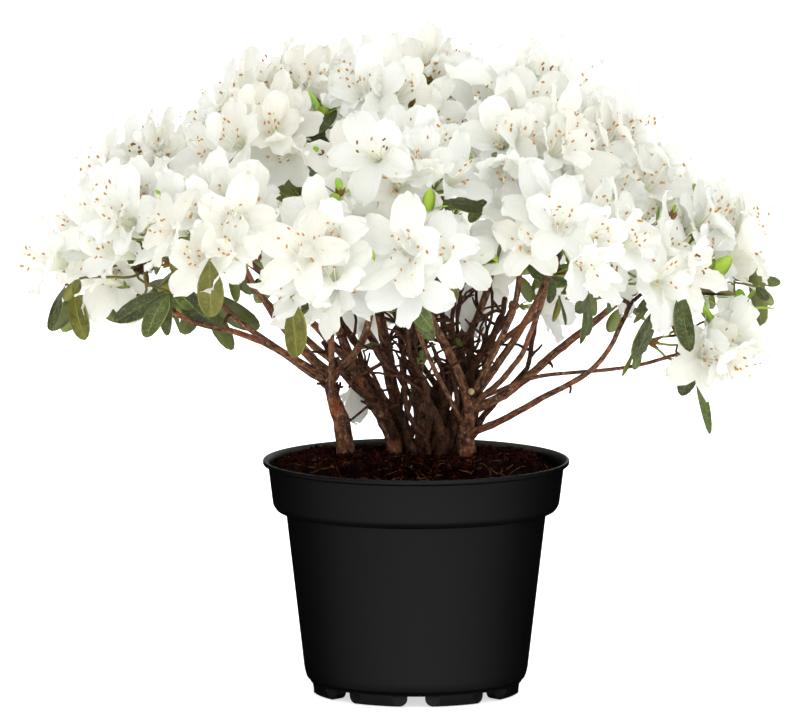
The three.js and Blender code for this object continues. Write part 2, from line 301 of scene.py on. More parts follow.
# ---- The peat ------------------------------------------------------------------------------------
# Dark fibrous peat fills the pot and mounds up round the stems' feet. It is loose, so crumbs and
# fibres of root and sphagnum lie all over it.

PEAT_ROUND, PEAT_RINGS = 168, 56
# In mm: its edge and the radius where its fibres end, its usual height, how deep its skirt goes, how far
# its surface lies below the CAD soil's and how much more at the edge. Then how many bits lie on it.
PEAT = {"edge": 88.4, "fibre_edge": 87.5, "level": 136, "skirt": 16, "sunk": 2.2, "fall": 3.6,
        "crumbs": 3000, "fibres": 420}
TUCK = 0.965  # how much narrower the skirt is at its foot
LUMPS = [(55, 1.5), (140, 1.1), (420, 0.5)]  # how many to the metre, and how high in mm
OVER_THE_POT = 0.3
peat_seed = np.random.default_rng(11)


def surface_of(node):
    """A CAD node's surface, to be asked for its nearest point or where a ray meets it."""
    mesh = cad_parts[node].data
    mesh.calc_loop_triangles()
    corners = [vertex.co.copy() for vertex in mesh.vertices]
    return BVHTree.FromPolygons(corners, [tuple(t.vertices) for t in mesh.loop_triangles])


peat_surface = surface_of("soil")


def peat_height(x, y):
    """The height of the peat at a place, with its lumps."""
    hit = peat_surface.ray_cast(Vector((x, y, OVER_THE_POT)), Vector((0, 0, -1)))[0]
    level = hit.z if hit else PEAT["level"] * MM
    place = Vector((x, y, 0))
    lumps = sum(noise.noise(place * fineness) * height for fineness, height in LUMPS)
    out = math.hypot(x, y) / (PEAT["edge"] * MM)
    return level + (lumps - PEAT["sunk"] - PEAT["fall"] * out ** 3) * MM


def lay_peat():
    start_afresh()
    edge, level = PEAT["edge"] * MM, PEAT["level"] * MM
    bpy.ops.mesh.primitive_circle_add(
        vertices=PEAT_ROUND, radius=edge, fill_type="NOTHING", location=(0, 0, level))
    peat = bpy.context.object
    bpy.ops.object.mode_set(mode="EDIT")
    bpy.ops.mesh.select_all(action="SELECT")
    for ring in range(1, PEAT_RINGS):
        shrink = (PEAT_RINGS - ring) / (PEAT_RINGS - ring + 1)
        bpy.ops.mesh.extrude_region_move(TRANSFORM_OT_translate={"value": (0, 0, 0)})
        bpy.ops.transform.resize(value=(shrink, shrink, 1), center_override=(0, 0, 0))
    bpy.ops.mesh.extrude_region_move(TRANSFORM_OT_translate={"value": (0, 0, 0)})
    bpy.ops.mesh.merge(type="CENTER")
    bpy.ops.mesh.select_all(action="DESELECT")
    bpy.ops.mesh.select_mode(type="EDGE")
    bpy.ops.mesh.select_non_manifold()
    bpy.ops.mesh.extrude_region_move(TRANSFORM_OT_translate={"value": (0, 0, -PEAT["skirt"] * MM)})
    bpy.ops.transform.resize(value=(TUCK, TUCK, 1), center_override=(0, 0, 0))
    bpy.ops.mesh.edge_face_add()
    bpy.ops.mesh.select_all(action="SELECT")
    bpy.ops.mesh.remove_doubles(threshold=1e-6)
    bpy.ops.mesh.normals_make_consistent(inside=False)
    bpy.ops.object.mode_set(mode="OBJECT")
    for vertex in peat.data.vertices:
        if vertex.co.z > (PEAT["level"] - PEAT["skirt"] / 2) * MM:
            vertex.co.z = peat_height(vertex.co.x, vertex.co.y)
    return peat


class Sheaf:
    """Many small shapes gathered into one mesh: points, faces, and each face's finish and place."""

    def __init__(self):
        self.points, self.quads, self.finishes, self.charts, self.count = [], [], [], [], 0

    def take(self, points, faces, finish=0, chart=None):
        """Faces are rows of four corners. A three-cornered face repeats its last."""
        self.points.append(np.asarray(points, np.float32))
        self.quads.append(np.asarray(faces, np.int64) + self.count)
        self.finishes.append(np.broadcast_to(np.asarray(finish, np.int32), len(faces)))
        self.count += len(points)
        if chart is not None:
            self.charts.append(chart)

    def tied(self, name, finishes, slot, replaced=(), smooth=True, chart=None):
        """The gathered mesh as a finished piece."""
        points, quads = np.concatenate(self.points), np.concatenate(self.quads)
        three = quads[:, 2] == quads[:, 3]
        sizes = np.where(three, 3, 4)
        starts = np.concatenate([[0], np.cumsum(sizes)[:-1]])
        keep = np.ones((len(quads), 4), bool)
        keep[three, 3] = False
        mesh = bpy.data.meshes.new(name)
        mesh.vertices.add(len(points))
        mesh.vertices.foreach_set("co", points.ravel())
        mesh.loops.add(int(sizes.sum()))
        mesh.loops.foreach_set("vertex_index", quads[keep].astype(np.int32))
        mesh.polygons.add(len(quads))
        mesh.polygons.foreach_set("loop_start", starts.astype(np.int32))
        mesh.polygons.foreach_set("material_index", np.concatenate(self.finishes).astype(np.int32))
        mesh.polygons.foreach_set("use_smooth", np.full(len(quads), smooth))
        for finish in finishes:
            mesh.materials.append(finish)
        mesh.validate()
        mesh.update()
        if chart:
            corners = np.zeros(len(mesh.loops), np.int32)
            mesh.loops.foreach_get("vertex_index", corners)
            places = np.concatenate(self.charts)[corners].astype(np.float32)
            mesh.uv_layers.new(name=chart).data.foreach_set("uv", places.ravel())
        piece = bpy.data.objects.new(name, mesh)
        bpy.context.scene.collection.objects.link(piece)
        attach(piece, "root")
        if replaced:
            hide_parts(*replaced)
        return piece


def unit(vectors):
    vectors = np.asarray(vectors, float)
    return vectors / np.maximum(np.linalg.norm(vectors, axis=-1, keepdims=True), 1e-12)


def ring_faces(rings, sides, foot, tip):
    """The faces round a stack of rings of points, and from its end rings to the points foot and tip."""
    ring, turn = np.meshgrid(np.arange(rings - 1), np.arange(sides), indexing="ij")
    here, beside = ring * sides + turn, ring * sides + (turn + 1) % sides
    walls = np.stack([here, beside, beside + sides, here + sides], -1).reshape(-1, 4)
    low, low_beside = here[0], beside[0]
    high, high_beside = low + (rings - 1) * sides, low_beside + (rings - 1) * sides
    feet, tips = np.full(sides, foot), np.full(sides, tip)
    base = np.stack([low_beside, low, feet, feet], -1)
    cap = np.stack([high, high_beside, tips, tips], -1)
    return np.concatenate([walls, base, cap])


def ringed(sides, rings, foot, tip):
    """A closed shape along +Z: rings of radius and height, between a foot and a tip on its axis."""
    angle = np.arange(sides) * 2 * math.pi / sides
    points = [(r * math.cos(a), r * math.sin(a), z) for r, z in rings for a in angle]
    count = len(points)
    return np.array(points + [(0, 0, foot), (0, 0, tip)]), ring_faces(len(rings), sides, count, count + 1)


def tube(path, radii, sides, relief=None):
    """A round tube along a path, with rounded ends. relief(angle, share) multiplies its radius."""
    path = np.asarray(path, float)
    steps = len(path)
    ahead = unit(np.gradient(path, axis=0))
    side = np.cross(ahead[0], (0.3, 0.2, 1) if abs(ahead[0][2]) < 0.9 else (1, 0.2, 0))
    sides_at = []
    for i in range(steps):
        side = unit(side - ahead[i] * np.dot(side, ahead[i]))
        sides_at.append(side)
    across = np.array(sides_at)
    over = np.cross(ahead, across)
    angle = np.arange(sides) * 2 * math.pi / sides
    radius = np.broadcast_to(np.asarray(radii, float)[:, None], (steps, sides))
    if relief is not None:
        radius = radius * relief(angle[None, :], np.linspace(0, 1, steps)[:, None])
    ring = path[:, None] + radius[..., None] * (
        np.cos(angle)[None, :, None] * across[:, None] + np.sin(angle)[None, :, None] * over[:, None])
    tip = path[-1] + ahead[-1] * radii[-1] * 0.6
    foot = path[0] - ahead[0] * radii[0] * 0.3
    points = np.concatenate([ring.reshape(-1, 3), [tip, foot]])
    return points, ring_faces(steps, sides, steps * sides + 1, steps * sides)


def crumb(seed):
    """A lump with uneven corners: five sides, two rings and two ends."""
    points, faces = ringed(5, [(0.8, -0.4), (0.95, 0.25)], -0.9, 0.85)
    return points * seed.uniform(0.7, 1.25, points.shape), faces


def any_turn(seed):
    """A random rotation as a 3 by 3 array."""
    q = unit(seed.normal(size=4))
    w, x, y, z = q
    return np.array([
        [1 - 2 * (y * y + z * z), 2 * (x * y - z * w), 2 * (x * z + y * w)],
        [2 * (x * y + z * w), 1 - 2 * (x * x + z * z), 2 * (y * z - x * w)],
        [2 * (x * z - y * w), 2 * (y * z + x * w), 1 - 2 * (x * x + y * y)]])


def peat_place(seed, edge=0.97):
    radius, turn = PEAT["edge"] * MM * edge * math.sqrt(seed.random()), seed.random() * 2 * math.pi
    return radius * math.cos(turn), radius * math.sin(turn)


def peat_finish(name, dark, pale, flecks=None):
    finish = Finish(name, {"Specular IOR Level": 0.05, "Roughness": 0.92})
    where = finish.add("ShaderNodeTexCoord", output="Object")
    coarse = finish.speckle(where, 170, 6, 0.7)
    fine = finish.speckle(where, 900, 4, 0.7)
    colour = finish.graded(coarse, [(0.32, dark), (0.72, pale)])
    if flecks:
        colour = finish.between(finish.above(fine, 0.60, 0.70), colour, flecks)
    finish.feed(colour=colour, normal=finish.raised(coarse + fine * 0.6, 0.0008, 0.9))
    return finish.material


peat_dark = peat_finish("peat", rgb(8, 2, 1), rgb(35, 11, 5), rgb(68, 31, 15))
peat_red = peat_finish("peat_crumb", rgb(17, 5, 2), rgb(60, 22, 10))
peat_fibre = peat_finish("peat_fibre", rgb(70, 44, 26), rgb(128, 92, 60))

peat = lay_peat()
peat.name = "peat_bed"
peat.data.materials.clear()
peat.data.materials.append(peat_dark)
bpy.ops.object.shade_smooth()
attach(peat, "root")
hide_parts("soil")

# How large crumbs are, in mm, and how often each size and each finish comes. Only those smaller than
# SMALL_CRUMB are ever as pale as fibre.
CRUMB_SIZES = {0.7: 0.28, 1.0: 0.3, 1.4: 0.22, 2.0: 0.14, 2.7: 0.06}
CRUMB_FINISHES = [0.5, 0.44, 0.06]
SMALL_CRUMB = 1.2 * MM
FIBRE_STEPS = 7
crumbs = Sheaf()
for _ in range(PEAT["crumbs"]):
    x, y = peat_place(peat_seed)
    size = peat_seed.choice(list(CRUMB_SIZES), p=list(CRUMB_SIZES.values())) * MM
    points, faces = crumb(peat_seed)
    points = points * size @ any_turn(peat_seed).T + (x, y, peat_height(x, y) + size * 0.25)
    tint = int(peat_seed.choice(3, p=CRUMB_FINISHES))
    crumbs.take(points, faces, tint if size < SMALL_CRUMB else min(tint, 1))
for _ in range(PEAT["fibres"]):
    x, y = peat_place(peat_seed, 0.95)
    run = peat_seed.uniform(5, 17) * MM
    heading = peat_seed.random() * 2 * math.pi
    bend = peat_seed.normal(0, 1.4)
    path = []
    for t in np.linspace(0, 1, FIBRE_STEPS):
        x += run / FIBRE_STEPS * math.cos(heading + bend * t)
        y += run / FIBRE_STEPS * math.sin(heading + bend * t)
        if math.hypot(x, y) > PEAT["fibre_edge"] * MM:
            break
        path.append((x, y, peat_height(x, y) + (0.3 + 2.6 * peat_seed.random() * t * (1 - t)) * MM))
    if len(path) > 3:
        points, faces = tube(path, np.full(len(path), peat_seed.uniform(0.16, 0.36) * MM), 3)
        crumbs.take(points, faces, 2 if peat_seed.random() < 0.55 else 1)
crumbs.tied("peat_crumbs", [peat_dark, peat_red, peat_fibre], "peat", smooth=False)


# ---- The stems and boughs ------------------------------------------------------------------------
# Six woody stems rise from the peat and fork into boughs. The bark is brown and thin, finely ridged
# along the limb, with knots where old leaves and twigs were, and each limb widens where it joins.

STEM_SIDES, BOUGH_SIDES = 20, 14
RING_EVERY = 1.5 * MM
KNOT_EVERY = 11 * MM
LIMB_CUTS = 18  # how many cuts across a CAD limb its middle line is found from
LINE_POINTS = 120
LEAST_RADIUS = 0.9 * MM
limb_seed = np.random.default_rng(23)
STEMS = sorted(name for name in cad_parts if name.startswith("stem_"))
BOUGHS = sorted(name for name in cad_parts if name.startswith("bough_"))
MASSES = sorted(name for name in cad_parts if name.startswith("mass_"))


def limb_line(node):
    """A CAD limb's middle line and radii, found from cuts across it, from its foot to its tip."""
    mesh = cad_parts[node].data
    mesh.calc_loop_triangles()
    corners = np.array([vertex.co for vertex in mesh.vertices])
    triangles = np.array([t.vertices for t in mesh.loop_triangles])
    middle = corners.mean(0)
    along = np.linalg.svd(corners - middle, full_matrices=False)[2][0]
    along = along * (1 if along[2] > 0 else -1)
    reach = (corners - middle) @ along
    shares, centres, rims = [], [], []
    for share in np.linspace(0.06, 0.97, LIMB_CUTS):
        level = reach.min() + share * (reach.max() - reach.min())
        height = reach[triangles] - level
        ends = []
        for first, second in ((0, 1), (1, 2), (2, 0)):
            crosses = height[:, first] * height[:, second] < 0
            t = height[:, first] / np.where(crosses, height[:, first] - height[:, second], 1)
            start, end = corners[triangles[:, first]], corners[triangles[:, second]]
            ends.append((crosses, start + t[:, None] * (end - start)))
        total = ends[0][0].astype(int) + ends[1][0] + ends[2][0]
        cut = total == 2
        if not cut.any():
            continue
        pair = sum(np.where(c[:, None], p, 0) for c, p in ends)[cut] / 2
        span = np.zeros(cut.sum())
        for a in range(3):
            for b in range(a + 1, 3):
                both = (ends[a][0] & ends[b][0])[cut]
                span += np.where(both, np.linalg.norm(ends[a][1][cut] - ends[b][1][cut], axis=1), 0)
        centre = (pair * span[:, None]).sum(0) / span.sum()
        shares.append(share)
        centres.append(centre)
        rims.append(pair)
    shares, centres = np.array(shares), np.array(centres)
    bend = [np.polynomial.Polynomial.fit(shares, centres[:, axis], 5) for axis in range(3)]
    fine = np.linspace(0, 1, LINE_POINTS)
    line = np.stack([curve(fine) for curve in bend], -1)
    steady = (fine > 0.03) & (fine < 0.985)
    line = np.stack([np.interp(fine, fine[steady], line[steady, axis]) for axis in range(3)], -1)
    for end, inner in ((0, 6), (-1, -6)):  # the ends run on straight
        run = line[inner] - line[inner * 2]
        line[end] = line[inner] + run
    line = np.concatenate([line[:1], line[6:-6], line[-1:]])
    heading = unit(np.gradient(line, axis=0))
    found = []
    for pair, centre in zip(rims, centres):
        nearest = np.argmin(np.linalg.norm(line - centre, axis=1))
        offset = pair - centre
        offset = offset - (offset @ heading[nearest])[:, None] * heading[nearest]
        found.append(np.linalg.norm(offset, axis=1).mean())
    found = np.array(found)
    good = (shares > 0.12) & (shares < 0.93)
    slope, start = np.polyfit(shares[good], found[good], 1)
    return line, np.maximum(start + slope * np.linspace(0, 1, len(line)), LEAST_RADIUS)


def even_steps(line, radii, every):
    """The line and its radii again at even steps, and how far along it each step is."""
    walked = np.concatenate([[0], np.cumsum(np.linalg.norm(np.diff(line, axis=0), axis=1))])
    steps = max(4, int(round(walked[-1] / every)))
    at = np.linspace(0, walked[-1], steps + 1)
    even = np.stack([np.interp(at, walked, line[:, axis]) for axis in range(3)], -1)
    return even, np.interp(at, walked, radii), at


def bark_relief(seed, length, girth):
    """Fine ridges that wander along the limb, knots here and there, and shallow rings of old scars."""
    offset = seed.uniform(0, 50, 3)
    knots = [(seed.random() * 2 * math.pi, seed.random(), seed.uniform(0.10, 0.26))
             for _ in range(int(length / KNOT_EVERY))]
    around = girth * 2

    def relief(angle, share):
        height = np.ones(np.broadcast(angle, share).shape)
        for i in range(height.shape[0]):
            z = float(share[i, 0]) * length
            for j in range(height.shape[1]):
                a = float(angle[0, j])
                ridge = np.array([math.cos(a) * around * 260, math.sin(a) * around * 260, z * 70])
                place = Vector(ridge + offset)
                height[i, j] += 0.11 * noise.noise(place) + 0.08 * noise.noise(place * 2.7)
        for turn, at, size in knots:
            away = np.arctan2(np.sin(angle - turn), np.cos(angle - turn))
            near = ((share - at) * length / (girth * 1.2)) ** 2 + (away / 0.75) ** 2
            height = height + size * np.exp(-near * 2)
        return height

    return relief


def bark_finish(name, dark, mid, pale, rust):
    """Reads the limb's own map: across it is round the limb, up it is along the limb in metres."""
    finish = Finish(name, {"Specular IOR Level": 0.35})
    along = finish.add("ShaderNodeUVMap", {"uv_map": "bark"})
    drawn = finish.add("ShaderNodeMapping", {}, {"Vector": along, "Scale": (7, 130, 1)})
    fibre = finish.speckle(drawn, 1.3, 6, 0.7)
    where = finish.add("ShaderNodeTexCoord", output="Object")
    blotch = finish.speckle(where, 240, 5, 0.65)
    patch = finish.speckle(where, 38, 3, 0.55)
    fine = finish.speckle(where, 1100, 3, 0.6)
    scars = finish.speckle(where, 480, 2, 0.5)
    colour = finish.between(finish.above(blotch, 0.38, 0.64), dark, mid)
    colour = finish.between(finish.above(patch, 0.52, 0.66) * 0.65, colour, rust)
    # Pale on the raised ridges of the fibre: partly pale bark, partly a painted highlight on the ridges.
    colour = finish.between(finish.above(fibre, 0.48, 0.70) * 0.8, colour, pale)
    # Near black in the fibre's low grooves: partly the bark's own dark cracks, partly painted shade in them.
    colour = finish.between(finish.below(fibre, 0.30, 0.42) * 0.85, colour, rgb(16, 9, 7))
    colour = finish.between(finish.above(scars, 0.66, 0.72) * 0.7, colour, rgb(196, 160, 124))
    finish.feed(
        colour=colour,
        roughness=0.52 + blotch * 0.3,
        normal=finish.raised(fibre + fine * 0.3, 0.0012, 0.9),
    )
    return finish.material


bark_old = bark_finish("stem_bark", rgb(32, 18, 12), rgb(100, 58, 35), rgb(178, 132, 97), rgb(150, 76, 34))
bark_red = bark_finish("bough_bark", rgb(50, 28, 18), rgb(120, 76, 51), rgb(188, 140, 106), rgb(148, 78, 40))


def clothe_limb(node, sides, foot_run, swell, finish, rounded_tip=False):
    """Replaces a CAD limb by one with bark. It starts foot_run inside what it grows from."""
    line, radii = limb_line(node)
    heading = unit(line[3] - line[0])
    line = np.concatenate([[line[0] - heading * foot_run], line])
    radii = np.concatenate([radii[:1], radii])
    line, radii, walked = even_steps(line, radii, RING_EVERY)
    length = walked[-1]
    round_off = np.clip((length - walked) / (radii[-1] * 1.6), 0, 1) if rounded_tip else 1
    radii = radii * np.sqrt(1 - (1 - round_off) ** 2 * 0.9)
    wander = limb_seed.uniform(0, 40, 2)
    side = unit(np.cross(line[-1] - line[0], (0.2, 0.1, 1.0)))
    over = unit(np.cross(line[-1] - line[0], side))
    sway = np.sin(np.pi * np.clip(walked / length, 0, 1)) * radii[0] * 0.5
    for k in range(len(line)):
        place = Vector((walked[k] * 42 + wander[0], wander[1], 0))
        line[k] += sway[k] * (noise.noise(place) * side + noise.noise(place + Vector((0, 9, 3))) * over)
    radii = radii * (1 + swell * np.exp(-walked / (radii[0] * 2.2)))
    points, faces = tube(line, radii, sides, bark_relief(limb_seed, length, radii.mean()))
    limb = Sheaf()
    limb.take(points, faces)
    piece = limb.tied(node + "_bark", [finish], "bark", [node])
    chart = piece.data.uv_layers.new(name="bark")
    corners = np.zeros(len(piece.data.loops), np.int32)
    piece.data.loops.foreach_get("vertex_index", corners)
    ring, turn = corners // sides, corners % sides
    last = len(line) - 1
    chart_at = np.stack([turn / sides, walked[np.minimum(ring, last)]], -1)
    starts = np.zeros(len(piece.data.polygons), np.int32)
    piece.data.polygons.foreach_get("loop_start", starts)
    sizes = np.diff(np.append(starts, len(corners)))
    face_of = np.repeat(np.arange(len(starts)), sizes)
    across = chart_at[:, 0]
    wraps = (np.maximum.reduceat(across, starts) - np.minimum.reduceat(across, starts)) > 0.5
    chart_at[wraps[face_of] & (chart_at[:, 0] < 0.5), 0] += 1
    chart.data.foreach_set("uv", chart_at.astype(np.float32).ravel())
    return line, radii


limbs = {}
for node in STEMS:
    limbs[node] = clothe_limb(
        node, STEM_SIDES, foot_run=7 * MM, swell=0.12, finish=bark_old, rounded_tip=True)
for node in BOUGHS:
    limbs[node] = clothe_limb(node, BOUGH_SIDES, foot_run=4.5 * MM, swell=0.45, finish=bark_red)


# ---- The thin stems and spurs --------------------------------------------------------------------
# Younger shoots crowd up from the peat between the old stems, and short crooked twiglets and spurs
# stand on every limb. Their bark is darker, and rough with buds that never opened.

thin_seed = np.random.default_rng(31)
THIN_STEMS, THIN_RADIUS = 30, 2.8 * MM
# They crowd round the middle of these stems' feet, so far to each side and so far to front and back.
CROWD = {
    "among": ["stem_middle_left", "stem_middle", "stem_rear", "stem_right"],
    "spread": (23 * MM, 18 * MM), "long": (84 * MM, 130 * MM), "half": 56 * MM,
}
LONG_TWIGLET = 12 * MM  # longer ones than this keep to the crowd's half width
TWIGLET_TIP = 0.65 * MM
# Small leaves may stand on twiglets that end this near the middle, and blooms hang from thin stems that
# end this near it, behind the crowd's middle.
LEAFY_HALF, BLOOMING_HALF = 32 * MM, 60 * MM
SPURS = {"stem": 4, "bough": 1}


def thin_bark_finish():
    finish = Finish("thin_bark", {"Specular IOR Level": 0.3})
    where = finish.add("ShaderNodeTexCoord", output="Object")
    blotch = finish.speckle(where, 240, 5, 0.65)
    fine = finish.speckle(where, 900, 4, 0.65)
    flakes = finish.above(fine, 0.52, 0.68)
    colour = finish.graded(blotch, [(0.38, rgb(30, 17, 12)), (0.66, rgb(84, 50, 31))])
    finish.feed(
        colour=finish.between(flakes * 0.5, colour, rgb(150, 100, 66)),
        roughness=0.55 + blotch * 0.25,
        normal=finish.raised(fine + blotch * 0.5, 0.0006, 0.8),
    )
    return finish.material


thin_bark = thin_bark_finish()
thin = Sheaf()


def crooked(start, heading, length, crook, rise=0.03):
    """A line that leaves along its heading and goes its own way, a little upward."""
    steps = max(3, int(length / (4 * MM)))
    points = [np.asarray(start, float)]
    for _ in range(steps):
        heading = unit(heading + thin_seed.normal(0, crook, 3) + (0, 0, rise))
        points.append(points[-1] + heading * length / steps)
    return np.array(points)


def grow(path, radii, sides=7):
    """Gathers a twig, with a slight swelling at each bud."""
    swell = 1 + 0.16 * np.maximum(0, thin_seed.normal(0, 1, len(path)))
    points, faces = tube(path, np.asarray(radii) * swell, sides)
    thin.take(points, faces)


def twiglets(path, radii, count, lengths, crook, first=0.2):
    """Side shoots along a limb, each with a spur or two of its own when it is long enough."""
    heading = unit(np.gradient(path, axis=0))
    for _ in range(count):
        at = int(thin_seed.uniform(first, 0.97) * (len(path) - 1))
        across = unit(np.cross(heading[at], thin_seed.normal(size=3)))
        away = unit(across + heading[at] * thin_seed.uniform(0.2, 1.1))
        length = thin_seed.uniform(*lengths) * MM
        thick = min(radii[at] * 0.7, thin_seed.uniform(0.95, 1.7) * MM)
        side = crooked(path[at] + across * radii[at] * 0.5, away, length, crook)
        if length > LONG_TWIGLET and abs(side[-1][0]) > CROWD["half"]:
            continue
        thinner = np.linspace(thick, TWIGLET_TIP, len(side))
        grow(side, thinner, 5)
        if abs(side[-1][0]) < LEAFY_HALF:
            bare_tips.append((side[-1], unit(side[-1] - side[-2])))
        if length > 22 * MM:
            twiglets(side, thinner, 1, (4, 9), crook)


shaded_tips, bare_tips = [], []
crowd_middle = np.mean([limbs[node][0][0] for node in CROWD["among"]], axis=0)
for k in range(THIN_STEMS):
    turn = k * 2.4 + thin_seed.normal(0, 0.3)
    reach = math.sqrt((k + 0.5) / THIN_STEMS)
    away = np.array([math.cos(turn), math.sin(turn), 0]) * reach
    x, y = (crowd_middle[i] + CROWD["spread"][i] * away[i] for i in range(2))
    foot = np.array([x, y, peat_height(x, y) - 5 * MM])
    length = thin_seed.uniform(*CROWD["long"])
    path = crooked(foot, unit(0.5 * away + (0, 0, 1)), length * 1.08, 0.14, 0.05)
    thick = THIN_RADIUS * thin_seed.uniform(0.55, 1.2)
    radii = np.linspace(thick, thick * 0.5, len(path))
    grow(path, radii)
    twiglets(path, radii, 4, (10, 32), 0.18, 0.45)
    if path[-1][1] > crowd_middle[1] and abs(path[-1][0]) < BLOOMING_HALF:
        shaded_tips.append((path[-1], unit(path[-1] - path[-3])))
for node, (line, radii) in limbs.items():
    kind = node.split("_")[0]
    twiglets(line, radii, SPURS[kind], (3, 8), 0.28, 0.3)

# Curly twiglets tangle where the left stem forks.
line, radii = limbs["stem_left"]
twiglets(line, radii, 8, (5, 11), 0.45, 0.80)

# A weak twig droops from the back left bough towards the gap between the two left stems.
DROOPING = {
    "off": "bough_back_left", "at": 0.22, "gap": ["stem_left", "stem_middle_left"],
    "reach": 0.55, "arch": 6 * MM, "radius": 1.3 * MM, "steps": 9,
}
line, radii = limbs[DROOPING["off"]]
start = line[int(DROOPING["at"] * len(line))]
gap = np.mean([limbs[node][0][-1] for node in DROOPING["gap"]], axis=0)
step = np.linspace(0, 1, DROOPING["steps"])[:, None]
path = start + (gap - start) * DROOPING["reach"] * step
path = path + np.array([0, 0, DROOPING["arch"]]) * np.sin(np.pi * step)
grow(path, np.linspace(1, 0.6, DROOPING["steps"]) * DROOPING["radius"])
drooping_tip = path[-1]

# A branch was pruned off the foot of the upper right bough. Its stub shows the pale cut wood.
STUB = {
    "on": "bough_upper_right", "at": 0.06, "toward": (-0.25, -1, 0.25), "long": 8 * MM, "radius": 2.7 * MM,
}
STUB_SHAPE = [1.25, 1.05, 1.0, 0.98, 1.04, 0.97]  # its radii from its foot to its end, as shares
# The discs on its end, one on the other: how far out each starts and ends, in mm, its radii there as
# shares of the stub's, its sides, and its finish. The first is the wood and the second the dark pith.
CUT_DISCS = [((0.1, 0.9), (0.80, 0.74), 12, 1), ((0.2, 1.1), (0.26, 0.22), 8, 0)]
line, radii = limbs[STUB["on"]]
out = unit(STUB["toward"])
stub = line[int(STUB["at"] * len(line))] + out * np.linspace(0, STUB["long"], len(STUB_SHAPE))[:, None]
points, faces = tube(stub, STUB["radius"] * np.array(STUB_SHAPE), 12)
thin.take(points, faces)
for reach, shares, sides, finish in CUT_DISCS:
    disc = stub[-1] + out * np.array(reach)[:, None] * MM
    points, faces = tube(disc, np.array(shares) * STUB["radius"], sides)
    thin.take(points, faces, finish)
cut_wood = Finish("cut_wood", {"Roughness": 0.8, "Specular IOR Level": 0.2})
where = cut_wood.add("ShaderNodeTexCoord", output="Object")
grain = cut_wood.speckle(where, 700, 4)
cut_wood.feed(colour=cut_wood.between(grain, rgb(216, 190, 148), rgb(170, 134, 94)))
thin.tied("thin_stems", [thin_bark, cut_wood.material], "bark")


# ---- The plan of the crown -----------------------------------------------------------------------
# Blossom covers the whole outside of the crown. Each bloom looks out and a little up from its own
# mass, or hangs where the mass turns under. Blooms stand in trusses of up to three on a twig's end.

crown_seed = np.random.default_rng(41)
crown_low = min(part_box(mass)[0][2] for mass in MASSES)
crown_high = max(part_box(mass)[1][2] for mass in MASSES)
HEART = np.array([0, 0, crown_low + 0.18 * (crown_high - crown_low)])  # what the blooms turn away from
BLOOM_SPACING, SHOOT_SPACING = 21.5 * MM, 46 * MM
SKIN_SAMPLES = 420
NEIGHBOUR = 0.15  # masses whose middles are nearer than this can touch
HOLLOW = 12 * MM  # how near the next mass a place counts as being in a hollow
BUD_SPACING, OPEN_HOLLOW = 44 * MM, 31 * MM
# These masses carry blossom right round under them. Under the others hang shoots of leaves.
BLOSSOM_BELOW = ["mass_front_near_left", "mass_right_low"]
# Under these the shoots hang low and their leaves are long.
LEAFY_BELOW = ["mass_left_front", "mass_right", "mass_left_back", "mass_back"]
# In these the hollows beside the next mass are left open, with new leaves in them, between these
# shares of the mass's height.
LEAFY_HOLLOWS = {
    "mass_right": (0, 0.5), "mass_right_front": (0, 0.6), "mass_left_upper": (0.35, 0.9),
    "mass_back_right": (0, 0.6),
}
# No blossom stands in these lower parts of a mass, so that the boughs show: the shares of its width
# between which it is clear, and the share of its height.
CLEARINGS = {"mass_front_right": (0, 0.42, 0.5), "mass_front_low": (0.6, 1, 0.55)}
mass_skins = {mass: surface_of(mass) for mass in MASSES}
mass_middles = {mass: np.array((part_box(mass)[0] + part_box(mass)[1]) / 2) for mass in MASSES}


def inside(mass, point):
    near, normal, _, _ = mass_skins[mass].find_nearest(Vector(point))
    return (Vector(point) - near).dot(normal) < 0


def skin_places(mass):
    """Random places on a mass that no other mass covers, which way each faces, and whether it lies in
    the hollow where two masses meet."""
    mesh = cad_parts[mass].data
    corners = np.array([vertex.co for vertex in mesh.vertices])
    triangles = np.array([t.vertices for t in mesh.loop_triangles])
    a, b, c = (corners[triangles[:, k]] for k in range(3))
    cross = np.cross(b - a, c - a)
    area = np.linalg.norm(cross, axis=1)
    chosen = crown_seed.choice(len(triangles), SKIN_SAMPLES, p=area / area.sum())
    u, v = crown_seed.random((2, SKIN_SAMPLES, 1))
    u, v = np.where(u + v > 1, 1 - u, u), np.where(u + v > 1, 1 - v, v)
    places = a[chosen] + u * (b - a)[chosen] + v * (c - a)[chosen]
    facing = unit(unit(cross[chosen]) + unit(places - mass_middles[mass]))
    others = [other for other in MASSES
              if other != mass and np.linalg.norm(mass_middles[other] - mass_middles[mass]) < NEIGHBOUR]
    for place, face in zip(places, facing):
        if not any(inside(other, place) for other in others):
            yield place, face, any(inside(other, place + face * HOLLOW) for other in others)


def in_clearing(mass, place):
    """Whether a place on a mass is kept clear of blossom, so that a bough shows."""
    if mass not in CLEARINGS:
        return False
    low, high = (np.array(corner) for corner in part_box(mass))
    share = (place - low) / (high - low)
    left, right, up = CLEARINGS[mass]
    return left < share[0] < right and share[2] < up


def in_open_hollow(mass, place):
    """Whether a hollow at this place is one of the open, leafy ones."""
    low, high = LEAFY_HOLLOWS.get(mass, (1, 0))
    bottom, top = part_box(mass)[0][2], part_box(mass)[1][2]
    return low < (place[2] - bottom) / (top - bottom) < high


def far_enough(place, chosen, spacing):
    return all(np.linalg.norm(place - other["place"]) > spacing for other in chosen)


